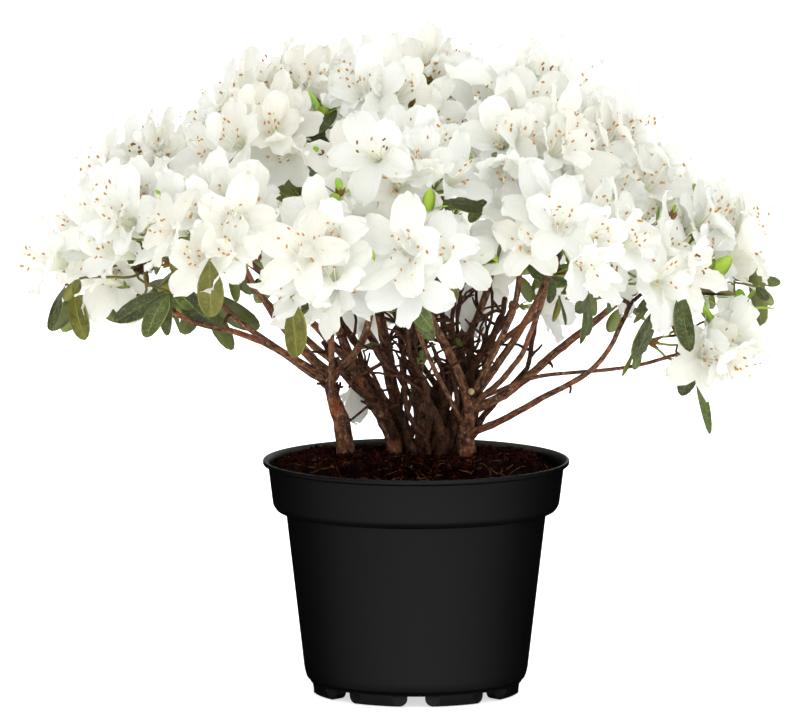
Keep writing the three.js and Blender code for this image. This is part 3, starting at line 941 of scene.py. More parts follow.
def bloom_facing(face, out):
    """Blooms on top lean out from the plant's middle, those at the sides look up a little, and half of
    those underneath hang."""
    outward = unit(out * (1, 1, 0.01))
    top = max(face[2], 0)
    hangs = face[2] < -0.15 and crown_seed.random() < 0.5
    lift = -0.2 if hangs else 0.36 * (1 - top)
    facing = 0.48 * face + 0.30 * out + (0.25 + 0.4 * top) * outward + (0, 0, lift)
    facing = unit(facing + crown_seed.normal(0, 0.15, 3))
    return facing if facing @ face > 0.35 else unit(facing + 0.6 * face)


def bloom_foot(place, face, facing, size, openness):
    """Where a bloom's foot is, so that its rim just reaches the mass's skin. Those at the sides stand
    out a little more, and those on top and underneath are sunk."""
    high, wide = 49 - 19 * openness, 19 + 15 * openness  # of a full size flower, in mm
    aslant = math.sqrt(max(0, 1 - (face @ facing) ** 2))
    proud = 4 - 22 * max(face[2], 0) + 9 * min(face[2], 0)
    return place - ((facing * high + face * 0.6 * wide * aslant) * size - face * proud) * MM


blooms, shoots, buds = [], [], []
candidates = [(mass, *found) for mass in MASSES for found in skin_places(mass)]
order = crown_seed.permutation(len(candidates))
in_hollows = [candidates[k][:3] for k in order if candidates[k][3]]
in_the_open = [candidates[k][:3] for k in order if not candidates[k][3]]
for mass, place, face in in_hollows:
    if far_enough(place, buds, BUD_SPACING) and face[2] > -0.5:
        facing = unit(face + 0.4 * (place - HEART) / 0.2 + (0, 0, 0.5) + crown_seed.normal(0, 0.15, 3))
        open_hollow = in_open_hollow(mass, place)
        sunk = -6 * MM if open_hollow else crown_seed.choice([-3 * MM, 4 * MM])
        foot = place - facing * sunk
        buds.append({"mass": mass, "place": place, "facing": facing, "foot": foot, "open": open_hollow})
gaps = [bud for bud in buds if bud["open"]]
for mass, place, face in in_the_open:
    out = unit((place - HEART) * (1, 1, 0.55))
    if face @ unit((place - HEART) * (1, 1, 0.9)) < -0.3 or in_clearing(mass, place):
        continue
    if not far_enough(place, gaps, OPEN_HOLLOW):
        continue
    if face[2] > (-0.8 if mass in BLOSSOM_BELOW else -0.4):
        if far_enough(place, blooms, BLOOM_SPACING):
            facing = bloom_facing(face, out)
            size, openness = crown_seed.uniform(0.70, 0.95), 0.36 + 0.6 * crown_seed.beta(2.0, 2.0)
            foot = bloom_foot(place, face, facing, size, openness) + facing * crown_seed.uniform(-3, 3) * MM
            blooms.append({"mass": mass, "place": place, "facing": facing, "foot": foot,
                           "size": size, "openness": openness})
    elif far_enough(place, shoots, SHOOT_SPACING) and far_enough(place, blooms, 0.7 * BLOOM_SPACING):
        low = mass in LEAFY_BELOW
        facing = unit(face + 0.5 * out + (0, 0, 0.4) + crown_seed.normal(0, 0.2, 3))
        foot = place + face * (8 * MM if low else -14 * MM)
        shoots.append({"mass": mass, "place": place, "facing": facing, "foot": foot, "low": low})


TRUSS_REACH = 0.036  # how far apart the feet of blooms in one truss may be
KNOT_BACK, KNOT_MORE = 0.009, 0.004  # how far behind the feet its knot is, and how much more for each bloom


def gather_trusses(mass):
    """The blooms of a mass in trusses of up to three neighbours, each with its knot."""
    left = [bloom for bloom in blooms if bloom["mass"] == mass]
    trusses = []
    while left:
        first = left.pop(0)
        near = sorted(left, key=lambda bloom: np.linalg.norm(bloom["foot"] - first["foot"]))
        friends = [b for b in near[:2] if np.linalg.norm(b["foot"] - first["foot"]) < TRUSS_REACH]
        group = [first] + friends
        left = [b for b in left if not any(b is f for f in friends)]
        facing = unit(sum(b["facing"] for b in group))
        knot = sum(b["foot"] for b in group) / len(group) - facing * (KNOT_BACK + KNOT_MORE * len(group))
        trusses.append({"knot": knot, "facing": facing, "blooms": group})
        for bloom in group:
            bloom["knot"] = knot
    return trusses


trusses = {mass: gather_trusses(mass) for mass in MASSES}

# In the shade under the crown some thin stems end in a bloom that hangs.
trusses["shade"] = []
for tip, ahead in shaded_tips[::2]:
    outward = unit(tip * (1, 1, 0) + (0, 0, 1e-6))
    facing = unit(0.6 * outward + 0.35 * ahead + (0, 0, -0.45) + crown_seed.normal(0, 0.2, 3))
    bloom = {"mass": "shade", "place": tip, "facing": facing, "size": crown_seed.uniform(0.7, 0.88),
             "openness": crown_seed.uniform(0.5, 0.8), "foot": tip + 0.5 * (ahead + facing) * 9 * MM}
    blooms.append(bloom)
    trusses["shade"].append({"knot": tip, "facing": ahead, "blooms": [bloom]})


# The weak twig behind the left stems ends in one bloom, which hangs half shut.
HALF_SHUT = {"mass": "shade", "size": 0.88, "openness": 0.42, "closed": 0.72}
facing = unit((0.03, 0.1, -1))
foot = drooping_tip + facing * 4 * MM
bloom = {**HALF_SHUT, "place": drooping_tip, "facing": facing, "foot": foot}
blooms.append(bloom)
trusses["shade"].append({"knot": drooping_tip, "facing": facing, "blooms": [bloom]})
bloom_feet = np.array([bloom["foot"] for bloom in blooms])
bloom_facings = np.array([bloom["facing"] for bloom in blooms])


# The space before a flower: where it begins and ends, and its radius at the flower's foot.
CONE = {"from": 5 * MM, "to": 64 * MM, "foot": 2 * MM}


def before_a_bloom(points, clear):
    """Whether any of these points is in a cone before a flower, which widens by clear as it goes out."""
    for point in points:
        away = point - bloom_feet
        ahead = (away * bloom_facings).sum(1)
        aside = np.linalg.norm(away - ahead[:, None] * bloom_facings, axis=1)
        within = (ahead > CONE["from"]) & (ahead < CONE["to"]) & (aside < CONE["foot"] + clear * ahead)
        if within.any():
            return True
    return False


# ---- The twigs -----------------------------------------------------------------------------------
# Each bough runs on into its mass and forks again and again, thinner at each fork, until a twig ends
# in every knot. Young twigs are thin, smooth and greenish brown.

TWIG_TIP = 0.75 * MM  # the radius of a twig that carries one truss
TWIG_POWER = 0.40  # how fast a twig thickens with the number of trusses it carries
twig_seed = np.random.default_rng(52)


def twig_path(start, heading, end, arrive):
    """A bent line that leaves along its heading and arrives along another."""
    run = np.linalg.norm(end - start)
    steps = max(4, int(run / (4 * MM)))
    t = np.linspace(0, 1, steps + 1)[:, None]
    first, second = start + heading * run * 0.38, end - arrive * run * 0.3
    path = (1 - t) ** 3 * start + 3 * t * (1 - t) ** 2 * first + 3 * t * t * (1 - t) * second + t ** 3 * end
    sway = twig_seed.normal(0, run * 0.008, (steps + 1, 3)) * np.sin(np.pi * t)
    return path + sway


def thick_enough(knots):
    return TWIG_TIP * knots ** TWIG_POWER


def split(start, targets):
    """Targets in two or three bunches by the way they lie from here."""
    ways = unit(np.array([target["knot"] for target in targets]) - start)
    bunches = 3 if len(targets) > 8 else 2
    seeds = [int(np.argmin(ways @ ways.mean(0)))]
    while len(seeds) < bunches:
        seeds.append(int(np.argmin(np.max(ways @ ways[seeds].T, axis=1))) if len(seeds) else 0)
    nearest = np.argmax(ways @ ways[seeds].T, axis=1)
    return [[target for target, own in zip(targets, nearest) if own == k] for k in range(bunches)]


def fork_out(start, heading, radius, targets, lines):
    """Adds to lines every twig from start to the targets' knots."""
    if len(targets) == 1:
        target = targets[0]
        path = twig_path(start, heading, target["knot"], target["facing"])
        lines.append((path, np.linspace(radius, TWIG_TIP, len(path)), 1))
        return
    for bunch in split(start, targets):
        if not bunch:
            continue
        if len(bunch) == 1:
            fork_out(start, heading, min(radius, thick_enough(1) * 1.1), bunch, lines)
            continue
        middle = np.mean([target["knot"] for target in bunch], axis=0)
        facing = unit(np.sum([target["facing"] for target in bunch], axis=0))
        fork = start + (middle - facing * (6 * MM) - start) * twig_seed.uniform(0.42, 0.6)
        onward = unit(unit(middle - start) + 0.25 * facing)
        thick = thick_enough(len(bunch))
        path = twig_path(start, heading, fork, onward)
        lines.append((path, np.linspace(min(radius, thick * 1.15), thick, len(path)), len(bunch)))
        fork_out(fork, onward, thick, bunch, lines)


def green_twig_finish():
    finish = Finish("young_twig", {"Specular IOR Level": 0.35, "Roughness": 0.6})
    where = finish.add("ShaderNodeTexCoord", output="Object")
    blotch = finish.speckle(where, 60, 4)
    fine = finish.speckle(where, 800, 3)
    finish.feed(
        colour=finish.between(blotch, rgb(86, 74, 34), rgb(112, 104, 48)),
        normal=finish.raised(fine, 0.0003, 0.5),
    )
    return finish.material


young_twig = green_twig_finish()
twigs = Sheaf()
for mass in MASSES:
    line, radii = limbs[mass.replace("mass_", "bough_")]
    heading = unit(line[-1] - line[-6])
    leafy_ends = [end for end in shoots + buds if end["mass"] == mass]
    targets = trusses[mass] + [{"knot": end["foot"], "facing": end["facing"]} for end in leafy_ends]
    middle = mass_middles[mass]
    inner = line[-1] + unit(unit(middle - line[-1]) + heading) * 0.3 * np.linalg.norm(middle - line[-1])
    path = twig_path(line[-1] - heading * (3 * MM), heading, inner, unit(middle - line[-1]))
    thick = min(radii[-1], thick_enough(len(targets)))
    lines = [(path, np.linspace(radii[-1], thick, len(path)), len(targets))]
    fork_out(inner, unit(middle - line[-1]), thick, targets, lines)
    for path, radius, carried in lines:
        points, faces = tube(path, radius, 7 if carried > 3 else 6)
        twigs.take(points, faces, 0 if carried > 1 else 1)
twigs.tied("twigs", [thin_bark, young_twig], "bark", MASSES)


# ---- The leaves ----------------------------------------------------------------------------------
# Leathery leaves with a pale midrib and a yellowish rolled margin, dark green above and paler below,
# round each truss and on hanging shoots. New ones, small and lime green, stand up between the blooms.

# Each row of a leaf: how far along it is, and how wide.
LEAF_ROWS = [
    (0.07, 0.14), (0.17, 0.42), (0.30, 0.74), (0.44, 0.94),
    (0.58, 1.0), (0.73, 0.95), (0.87, 0.72), (0.96, 0.40),
]
LEAF_ABOVE = [-1, -0.9, -0.045, 0.045, 0.9, 1]  # columns over the upper side
leaf_seed = np.random.default_rng(67)
# How many large leaves hang in front of the lowest blooms of each mass.
HANGING = {
    "mass_left_low": 0, "mass_left_front": 4, "mass_front_left": 5, "mass_front_near_left": 5,
    "mass_front_low": 3, "mass_front_middle": 3, "mass_front_right": 4, "mass_right": 2, "mass_right_low": 0,
}
HANGING_ELSEWHERE = 2  # in front of other masses whose foot is in this lowest share of the crown
LOWEST_SHARE = 0.3


def leaf_faces():
    """The faces of one leaf, and the part that each belongs to: 0 blade, 1 rib and margin, 2 underside."""
    rows, above = len(LEAF_ROWS), len(LEAF_ABOVE)
    stalk, tip, keel = 0, 1, 2 + rows * above

    def up(row, column):
        return 2 + row * above + column

    faces, parts = [], []
    for column in range(above - 1):
        part = 1 if column in (0, 2, 4) else 0
        faces.append((stalk, up(0, column), up(0, column + 1), up(0, column + 1)))
        faces.append((up(rows - 1, column + 1), up(rows - 1, column), tip, tip))
        parts += [1, part]
        for row in range(rows - 1):
            faces.append((up(row, column), up(row + 1, column), up(row + 1, column + 1), up(row, column + 1)))
            parts.append(part)
    for left, edge in ((True, 0), (False, above - 1)):
        for row in range(rows + 1):
            one, two = (up(r, edge) if 0 <= r < rows else (stalk, tip)[r > 0] for r in (row - 1, row))
            low, high = (keel + r if 0 <= r < rows else (stalk, tip)[r > 0] for r in (row - 1, row))
            face = (one, low, high, two) if left else (low, one, two, high)
            if row == 0:
                face = (stalk, high, two, two) if left else (stalk, two, high, high)
            elif row == rows:
                face = (one, low, tip, tip) if left else (low, one, tip, tip)
            faces.append(face)
            parts.append(2)
    return np.array(faces), np.array(parts)


LEAF_FACES, LEAF_PARTS = leaf_faces()


def leaf_points(length, width, fold, droop, twist, wave):
    """One leaf along +X with its face up: folded at its rib by fold, and drooping along its length."""
    rows = np.array([(0, 0)] + LEAF_ROWS + [(1, 0)])
    t, half = rows[:, 0], rows[:, 1] * width / 2
    bend = droop * t ** 1.4
    step = np.diff(t, prepend=0) * length
    x, z = np.cumsum(step * np.cos(bend)), -np.cumsum(step * np.sin(bend))
    up = np.stack([np.sin(bend), 0 * bend, np.cos(bend)], -1)
    across = np.array([0, 1, 0])
    middle = np.stack([x, 0 * x, z], -1)
    points = [middle[:1], middle[-1:]]
    s = np.array(LEAF_ABOVE)
    for row in range(1, len(LEAF_ROWS) + 1):
        roll = twist * t[row]
        over = np.cos(roll) * across + np.sin(roll) * up[row]
        rise = -np.sin(roll) * across + np.cos(roll) * up[row]
        away = s * half[row]
        height = np.abs(away) * math.sin(fold) - (away ** 2) * 0.7 / width
        height += wave * width * s ** 2 * np.sin(8 * t[row] + 2.5 * np.sign(s))
        height -= 0.02 * width * (np.abs(s) < 0.1)  # the rib is sunk
        points.append(middle[row] + away[:, None] * math.cos(fold) * over + height[:, None] * rise)
    keels = middle[1:-1] - 0.07 * width * up[1:-1]
    return np.concatenate(points + [keels])


def stand(direction, face):
    """A 3 by 3 array that turns +X to a direction and +Z as nearly as it can to the way it faces."""
    x = unit(direction)
    z = unit(face - x * (face @ x))
    return np.stack([x, np.cross(z, x), z], -1)


def leaf_finish(name, dark, light, painted_sheen, roughness=0.34):
    finish = Finish(name, {"Specular IOR Level": 0.6, "Coat Weight": 0.15, "Coat Roughness": 0.3})
    where = finish.add("ShaderNodeTexCoord", output="Object")
    blotch = finish.speckle(where, 110, 4, 0.6)
    dapple = finish.speckle(where, 560, 4, 0.7)
    colour = finish.between(finish.above(blotch, 0.36, 0.66), dark, light)
    # The sheen colour is laid in patches where the dapple is high. It is a painted sheen: the leaf's gloss
    # painted into its colour.
    finish.feed(
        colour=finish.between(finish.above(dapple, 0.50, 0.72) * 0.6, colour, painted_sheen),
        roughness=roughness + dapple * 0.25,
        normal=finish.raised(dapple + blotch, 0.0006, 0.7),
    )
    return finish.material


# Each tint of leaf is three finishes: its blade, its rib and margin, and its underside. The colours are the
# blade's dark, light and painted sheen, the rib's, and the underside's. The painted sheen is a pale colour
# that stands in for the leaf's gloss.
LEAF_TINTS = {
    "deep": (rgb(44, 52, 19), rgb(74, 85, 34), rgb(138, 147, 106), rgb(122, 124, 40), rgb(100, 106, 36)),
    "mid": (rgb(60, 74, 25), rgb(96, 111, 44), rgb(150, 161, 112), rgb(146, 150, 46), rgb(118, 126, 42)),
    "olive": (rgb(82, 84, 18), rgb(116, 114, 28), rgb(144, 144, 76), rgb(152, 148, 50), rgb(128, 124, 40)),
    "lime": (rgb(112, 158, 12), rgb(148, 190, 32), rgb(174, 206, 76), rgb(164, 196, 56), rgb(150, 182, 36)),
    "bronze": (rgb(66, 46, 26), rgb(96, 70, 36), rgb(122, 98, 62), rgb(112, 92, 46), rgb(96, 80, 42)),
}
leaf_finishes, leaf_tint = [], {}
for tint, (dark, light, painted_sheen, rib, under) in LEAF_TINTS.items():
    leaf_tint[tint] = len(leaf_finishes)
    # The underside's paler colour is half the painted sheen's colour.
    paler = tuple(0.5 * (a + b) for a, b in zip(under, painted_sheen))
    leaf_finishes += [
        leaf_finish(f"leaf_{tint}", dark, light, painted_sheen),
        leaf_finish(f"leaf_rib_{tint}", rib, light, painted_sheen, 0.5),
        leaf_finish(f"leaf_under_{tint}", under, paler, painted_sheen, 0.62),
    ]

leaves = Sheaf()

# How wide a cone before a flower stays clear of leaves: of most, of small new ones in a truss, and of
# those that hang or stand in a hollow.
WHOLE_FLOWER, HALF_FLOWER, THROAT = 0.62, 0.4, 0.24
# How often each tint comes among old leaves, new ones, and those of an open hollow and of the shade.
OLD_TINTS = {"deep": 0.42, "mid": 0.41, "olive": 0.17}
TRUSS_TINTS = {"lime": 0.9, "mid": 0.1}
BUD_TINTS = {"lime": 0.85, "mid": 0.15}
HOLLOW_TINTS = {"lime": 0.5, "olive": 0.15, "mid": 0.23, "bronze": 0.12}
SHADE_TINTS = {"lime": 0.4, "mid": 0.6}


def put_leaf(foot, direction, face, length, width, tint, droop=0.5, fold=0.2, wave=0.03, clear=WHOLE_FLOWER):
    """Adds a leaf, unless it would lie before a flower. Without a clear cone it is always added."""
    twist = leaf_seed.normal(0, 0.18)
    points = leaf_points(length, width, fold, droop, twist, wave * leaf_seed.uniform(0.3, 1.6))
    points = points @ stand(direction, face).T + foot
    keels = points[-len(LEAF_ROWS):]
    if not clear or not before_a_bloom([points[0], keels[2], keels[4], points[1]], clear):
        leaves.take(points, LEAF_FACES, leaf_tint[tint] + LEAF_PARTS)
        return True
    return False


def pick_tint(share):
    return str(leaf_seed.choice(list(share), p=list(share.values())))


def whorl(foot, facing, count, sizes, tints, spread=(62, 98), sag=0.0, clear=WHOLE_FLOWER, bare=True):
    """A ring of leaves round a twig's end. Where none finds room, two small ones stand there, unless
    the end may stay bare."""
    start = leaf_seed.random() * 2 * math.pi
    side = unit(np.cross(facing, (0.31, 0.2, 0.93)))
    over = np.cross(facing, side)
    placed = 0
    for k in range(count):
        turn = start + k * 2.4 + leaf_seed.normal(0, 0.2)
        lean = math.radians(leaf_seed.uniform(*spread))
        radial = math.cos(turn) * side + math.sin(turn) * over
        direction = unit(math.cos(lean) * facing + math.sin(lean) * radial + (0, 0, -sag))
        face = unit(facing + 0.15 * radial + (0, 0, 0.5) + sag * unit(foot * (1, 1, 0)))
        length = leaf_seed.uniform(*sizes) * MM
        width = length * leaf_seed.uniform(0.38, 0.50)
        back = facing * leaf_seed.uniform(-7, 0) * MM
        droop = leaf_seed.uniform(0.1, 0.8)
        placed += put_leaf(foot + back, direction, face, length, width, pick_tint(tints), droop, clear=clear)
    if placed == 0 and not bare:
        for turn in (start, start + 2.4):
            radial = math.cos(turn) * side + math.sin(turn) * over
            length = 0.6 * sizes[0] * MM
            put_leaf(foot, unit(facing + 0.5 * radial), radial + (0, 0, 0.5), length, 0.42 * length,
                     pick_tint(tints), clear=0)


for truss in [truss for mass in MASSES for truss in trusses[mass]]:
    knot, facing = truss["knot"], truss["facing"]
    if facing[2] > 0.3:
        whorl(knot, facing, 3, (14, 22), OLD_TINTS, (66, 110), 0.15)
    else:
        whorl(knot, facing, 5, (18, 32), OLD_TINTS, (66, 110), 0.15)
    if leaf_seed.random() < 0.22:
        whorl(knot + facing * (20 * MM), facing, 3, (11, 19), TRUSS_TINTS, (8, 28), clear=HALF_FLOWER)
for shoot in shoots:
    foot, facing, count = shoot["foot"], shoot["facing"], int(leaf_seed.integers(4, 6))
    if shoot["low"]:
        whorl(foot, facing * (0.4, 0.4, 1), count, (28, 46), OLD_TINTS, (60, 115), 0.75, bare=False)
    else:
        whorl(foot, facing, count, (24, 38), OLD_TINTS, (45, 105), 0.35, bare=False)
SHADE_WHORLS = 9  # a few small leaves among the stems
for k in leaf_seed.permutation(len(bare_tips))[:SHADE_WHORLS]:
    tip, ahead = bare_tips[k]
    whorl(tip, ahead, 2, (9, 16), SHADE_TINTS, (20, 60))

# Stalks of leaves that hang clear of their knot: each goes from the knot to a place between the tubes of
# two flowers, on along a heading, and out to the leaf.
petioles = []
PETIOLE_OUT = 20 * MM
BETWEEN_BLOOMS = 38 * MM  # a leaf hangs between blooms whose places are nearer than this
HUNG_APART = 24 * MM


def gaps_below(mass):
    """The gaps between neighbouring blooms on the lower half of a mass, the outermost and lowest first,
    each with the bloom whose knot a leaf there grows from."""
    low = [b for b in blooms if b["mass"] == mass and b["place"][2] < mass_middles[mass][2] + 0.006]
    found = []
    for k, one in enumerate(low):
        for other in low[k + 1:]:
            if np.linalg.norm(one["place"] - other["place"]) < BETWEEN_BLOOMS:
                gap = (one["place"] + other["place"]) / 2
                rank = gap[2] - 0.6 * np.linalg.norm(gap[:2]) + leaf_seed.uniform(0, 0.02)
                found.append((rank, gap, one))
    return [(gap, one) for _, gap, one in sorted(found, key=lambda each: each[0])]


for mass in MASSES:
    at_the_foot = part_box(mass)[0][2] < crown_low + LOWEST_SHARE * (crown_high - crown_low)
    wanted, hung = HANGING.get(mass, HANGING_ELSEWHERE if at_the_foot else 0), []
    for gap, bloom in gaps_below(mass):
        if len(hung) == wanted:
            break
        out = unit((gap - mass_middles[mass]) * (1, 1, 0.3))
        side = unit(np.cross(out, (0, 0, 1)))
        foot = gap + side * leaf_seed.normal(0, 3 * MM)
        direction = unit((0, 0, -1) + 0.3 * out + side * leaf_seed.normal(0, 0.35))
        length = leaf_seed.uniform(32, 50) * MM
        if all(np.linalg.norm(foot - other) > HUNG_APART for other in hung) and put_leaf(
                foot, direction, out + (0, 0, 0.3), length, length * leaf_seed.uniform(0.38, 0.50),
                pick_tint(OLD_TINTS), leaf_seed.uniform(-0.2, 0.5), 0.14, clear=THROAT):
            petioles.append((bloom["knot"], foot - out * PETIOLE_OUT, out, foot + direction * 2 * MM))
            hung.append(foot)

# One long narrow leaf trails from the twig under the low right mass.
TRAILING = {
    "under": "bough_right_low", "below": 6 * MM, "toward": (0.30, -0.1, -1), "face": (-0.5, -1, 0.1),
    "long": 48 * MM, "wide": 7 * MM,
}
foot = limbs[TRAILING["under"]][0][-1] - (0, 0, TRAILING["below"])
nearest = min(trusses["mass_right_low"], key=lambda truss: np.linalg.norm(truss["knot"] - foot))
toward = unit(TRAILING["toward"])
petioles.append((nearest["knot"], foot - toward * 3 * MM, toward, foot + toward * 2 * MM))
put_leaf(foot, toward, unit(TRAILING["face"]), TRAILING["long"], TRAILING["wide"], "mid",
         droop=-0.35, fold=0.3, wave=0.1, clear=0)

# New leaves stand in the hollows.
for bud in buds:
    if bud["open"]:
        whorl(bud["foot"], bud["facing"], 9, (18, 32), HOLLOW_TINTS, (15, 80), clear=0)
    else:
        whorl(bud["foot"], bud["facing"], 4, (12, 22), BUD_TINTS, (15, 80), clear=THROAT, bare=False)
leaves.tied("leaves", leaf_finishes, "foliage_and_blossom", MASSES)


# ---- The blossom ---------------------------------------------------------------------------------
# White funnel flowers, each of five broad lobes joined in a tube at their foot. The lobes are thin,
# frilled at the margin and notched at the tip, and let some light through. The throat is greenish.

TUBE_ROWS, LOBE_ROWS, PETAL_COLUMNS = 2, 8, 6
SHAPES = 24  # different flowers to deal out
petal_seed = np.random.default_rng(78)
# How far out and how far forward the flower's wall is, in mm: first up its tube, then along the middle
# of a lobe, for a flower wide open and for one that has just opened.
TUBE_OUT, TUBE_UP = [0.5, 2.6, 6.0], [0, 9, 20]
LOBE_SHARES = [0, 0.2, 0.4, 0.6, 0.8, 1.0]
OPEN_OUT, OPEN_UP = [6.0, 11.0, 17.8, 24.4, 30.0, 34.2], [20, 24.4, 27.6, 29.6, 30.4, 29.8]
SHUT_OUT, SHUT_UP = [6.0, 8.4, 11.2, 14.2, 17.0, 19.0], [20, 26.4, 32.6, 38.6, 44.2, 49.2]
LOBE_HALF = 11.7  # half a lobe's width at its widest


def corolla(openness):
    """One flower's points, lobe by lobe, its foot at the origin, facing +Z, in mm."""
    u = 1 - (1 - np.linspace(0, 1, LOBE_ROWS + 1)) ** 1.45
    s = np.linspace(-1, 1, PETAL_COLUMNS + 1)
    s = np.sign(s) * np.abs(s) ** 0.85
    tube = np.linspace(0, 1, TUBE_ROWS + 1)[:-1]
    free = np.concatenate([np.zeros(TUBE_ROWS), u])
    knots = np.linspace(0, 1, len(TUBE_OUT))
    tube_out, tube_up = np.interp(tube, knots, TUBE_OUT), np.interp(tube, knots, TUBE_UP)
    edge = np.abs(s)[None]
    side = np.sign(s)[None]
    lobes = []
    for k in range(5):
        share = np.clip(openness + petal_seed.normal(0, 0.15) * u, 0, 1.2)
        long = petal_seed.uniform(0.92, 1.06) * (1.07 if k == 0 else 1)  # the upper lobe is the longest
        out = (1 - share) * np.interp(u, LOBE_SHARES, SHUT_OUT) + share * np.interp(u, LOBE_SHARES, OPEN_OUT)
        up = (1 - share) * np.interp(u, LOBE_SHARES, SHUT_UP) + share * np.interp(u, LOBE_SHARES, OPEN_UP)
        out, up = out[0] + (out - out[0]) * long, up[0] + (up - up[0]) * long
        up = up + petal_seed.normal(-0.5, 2.6) * u ** 2.2
        out, up = np.concatenate([tube_out, out]), np.concatenate([tube_up, up])
        natural = math.radians(36) * np.interp(free, LOBE_SHARES, OPEN_OUT)
        natural[:TUBE_ROWS] = math.radians(36) * tube_out
        cap = np.sqrt(np.maximum(0.055, 1 - np.clip((free - 0.42) / 0.58, 0, 1) ** 1.85))
        wide = LOBE_HALF * petal_seed.uniform(0.86, 1.08) * cap
        half = np.minimum(natural * (1 + 0.14 * (free > 0)), wide)
        curl = np.interp(free, [0, 0.25, 0.6, 1], [1, 0.85, 0.5, 0.12])
        bowl = out / curl
        turn = s[None] * (half / bowl)[:, None]
        x = out[:, None] - bowl[:, None] * (1 - np.cos(turn))
        y = bowl[:, None] * np.sin(turn)
        z = np.repeat(up[:, None], len(s), 1)
        # frills along the margins, soft folds beside the middle, and one margin over the next lobe's
        phase = petal_seed.uniform(0, 2 * math.pi, 4)
        waves = petal_seed.uniform(6, 10)
        margin = free[:, None] * edge ** 2.2
        frill = np.sin(waves * free[:, None] + np.where(side < 0, phase[0], phase[1]))
        frill = frill + 0.7 * np.sin(2.3 * waves * free[:, None] + np.where(side < 0, phase[2], phase[3]))
        folds = np.exp(-((edge - 0.45) / 0.2) ** 2) - 1.2 * np.exp(-((edge / 0.15) ** 2))
        crease = free[:, None] * folds
        cup = petal_seed.normal(0.6, 2.0) * free[:, None] * s[None] ** 2
        lap = 1.25 * s[None] * np.minimum(1, 2.5 * free[:, None])
        lift = 2.1 * margin * frill + crease + cup + lap
        rise = np.gradient(up)
        slope = rise / np.maximum(np.hypot(rise, np.gradient(out)), 1e-6)
        x = x - lift * slope[:, None]
        z = z + lift * np.sqrt(np.maximum(0, 1 - slope ** 2))[:, None]
        scallop = petal_seed.normal(0, 0.36, x.shape) * (free[:, None] > 0.4) * (edge > 0.97)
        scallop[-1] = petal_seed.normal(0, 0.3, len(s)) - 0.8 * (edge[0] < 0.2)
        x, y = x + scallop, y + scallop * side * 0.8
        at = math.radians(72 * k + 90)
        turned = [x * math.cos(at) - y * math.sin(at), x * math.sin(at) + y * math.cos(at), z]
        lobes.append(np.stack(turned, -1).reshape(-1, 3))
    return np.concatenate(lobes)[COROLLA_KEPT]


def corolla_faces():
    """A flower's faces, which of them are in its throat, and which points stay once the lobes' margins
    are one in the tube."""
    high, wide = TUBE_ROWS + LOBE_ROWS, PETAL_COLUMNS + 1
    row, column = np.meshgrid(np.arange(high), np.arange(PETAL_COLUMNS), indexing="ij")
    first = row * wide + column
    one = np.stack([first, first + 1, first + wide + 1, first + wide], -1).reshape(-1, 4)
    size = (high + 1) * wide
    faces = np.concatenate([one + k * size for k in range(5)])
    same = np.arange(5 * size)
    for k in range(5):
        for tube_row in range(TUBE_ROWS + 1):
            same[k * size + tube_row * wide + PETAL_COLUMNS] = (k + 1) % 5 * size + tube_row * wide
    kept = np.unique(same)
    return np.searchsorted(kept, same[faces]), np.tile((row < TUBE_ROWS).ravel(), 5), kept


COROLLA_FACES, IN_THROAT, COROLLA_KEPT = corolla_faces()
# Each point's place on its lobe: how near the margin, and how far from the tube.
up_the_lobe = np.concatenate([np.zeros(TUBE_ROWS), np.linspace(0, 1, LOBE_ROWS + 1)])
along, over = np.meshgrid(up_the_lobe, np.linspace(-1, 1, PETAL_COLUMNS + 1), indexing="ij")
LOBE_CHART = np.tile(np.stack([np.abs(over), along], -1).reshape(-1, 2), (5, 1))[COROLLA_KEPT]
LEAST_OPEN, MOST_OPEN = 0.36, 0.98
SHAPE_OPENNESS = np.linspace(LEAST_OPEN, MOST_OPEN, SHAPES)
flower_shapes = [corolla(openness) for openness in SHAPE_OPENNESS]


def petal_finish(name, colour, shade, glow, through=0.5):
    """Thin petal: a soft white with fine veins along each lobe, painted shade in the veins' grooves, and part
    of its light comes through.
    """
    finish = Finish(name, {"Specular IOR Level": 0.22, "Roughness": 0.62})
    where = finish.add("ShaderNodeTexCoord", output="Object")
    soft = finish.speckle(where, 70, 3)
    chart = finish.add("ShaderNodeUVMap", {"uv_map": "lobe"})
    drawn = finish.add("ShaderNodeMapping", {}, {"Vector": chart, "Scale": (11, 1.5, 1)})
    apart = finish.add("ShaderNodeMapping", {}, {"Vector": where, "Scale": (26, 26, 26)})
    place = finish.add("ShaderNodeVectorMath", {"operation": "ADD"}, {0: drawn, 1: apart})
    vein = finish.speckle(place, 1, 3, 0.6)
    # The shade colour goes partly into random soft patches, a tone of the petal itself, and partly into the
    # low grooves of the veins' bump, as painted shade.
    groove_painted_shade = finish.below(vein, 0.40, 0.52)
    finish.feed(
        colour=finish.between(groove_painted_shade * 0.6 + soft * 0.4, colour, shade),
        normal=finish.raised(vein + soft * 0.5, 0.0011, 0.6),
    )
    glowing = finish.add("ShaderNodeBsdfTranslucent", {}, {"Color": glow})
    solid = Wire(finish, finish.shader.outputs[0])
    mixed = finish.add("ShaderNodeMixShader", {}, {0: through, 1: solid, 2: glowing})
    finish.plug(finish.tree.nodes["Material Output"].inputs["Surface"], mixed)
    return finish.material


# The second colour of each is its shade colour: painted shade in the veins' grooves, and a random tone in
# soft patches.
petal_finishes = [
    petal_finish("petal_white", rgb(250, 250, 246), rgb(238, 239, 232), rgb(252, 252, 247)),
    petal_finish("petal_cool", rgb(248, 249, 246), rgb(235, 237, 232), rgb(251, 252, 248)),
    petal_finish("petal_cream", rgb(250, 249, 243), rgb(239, 237, 227), rgb(252, 251, 244)),
    petal_finish("petal_throat", rgb(248, 250, 236), rgb(240, 244, 222), rgb(252, 253, 238), 0.6),
]


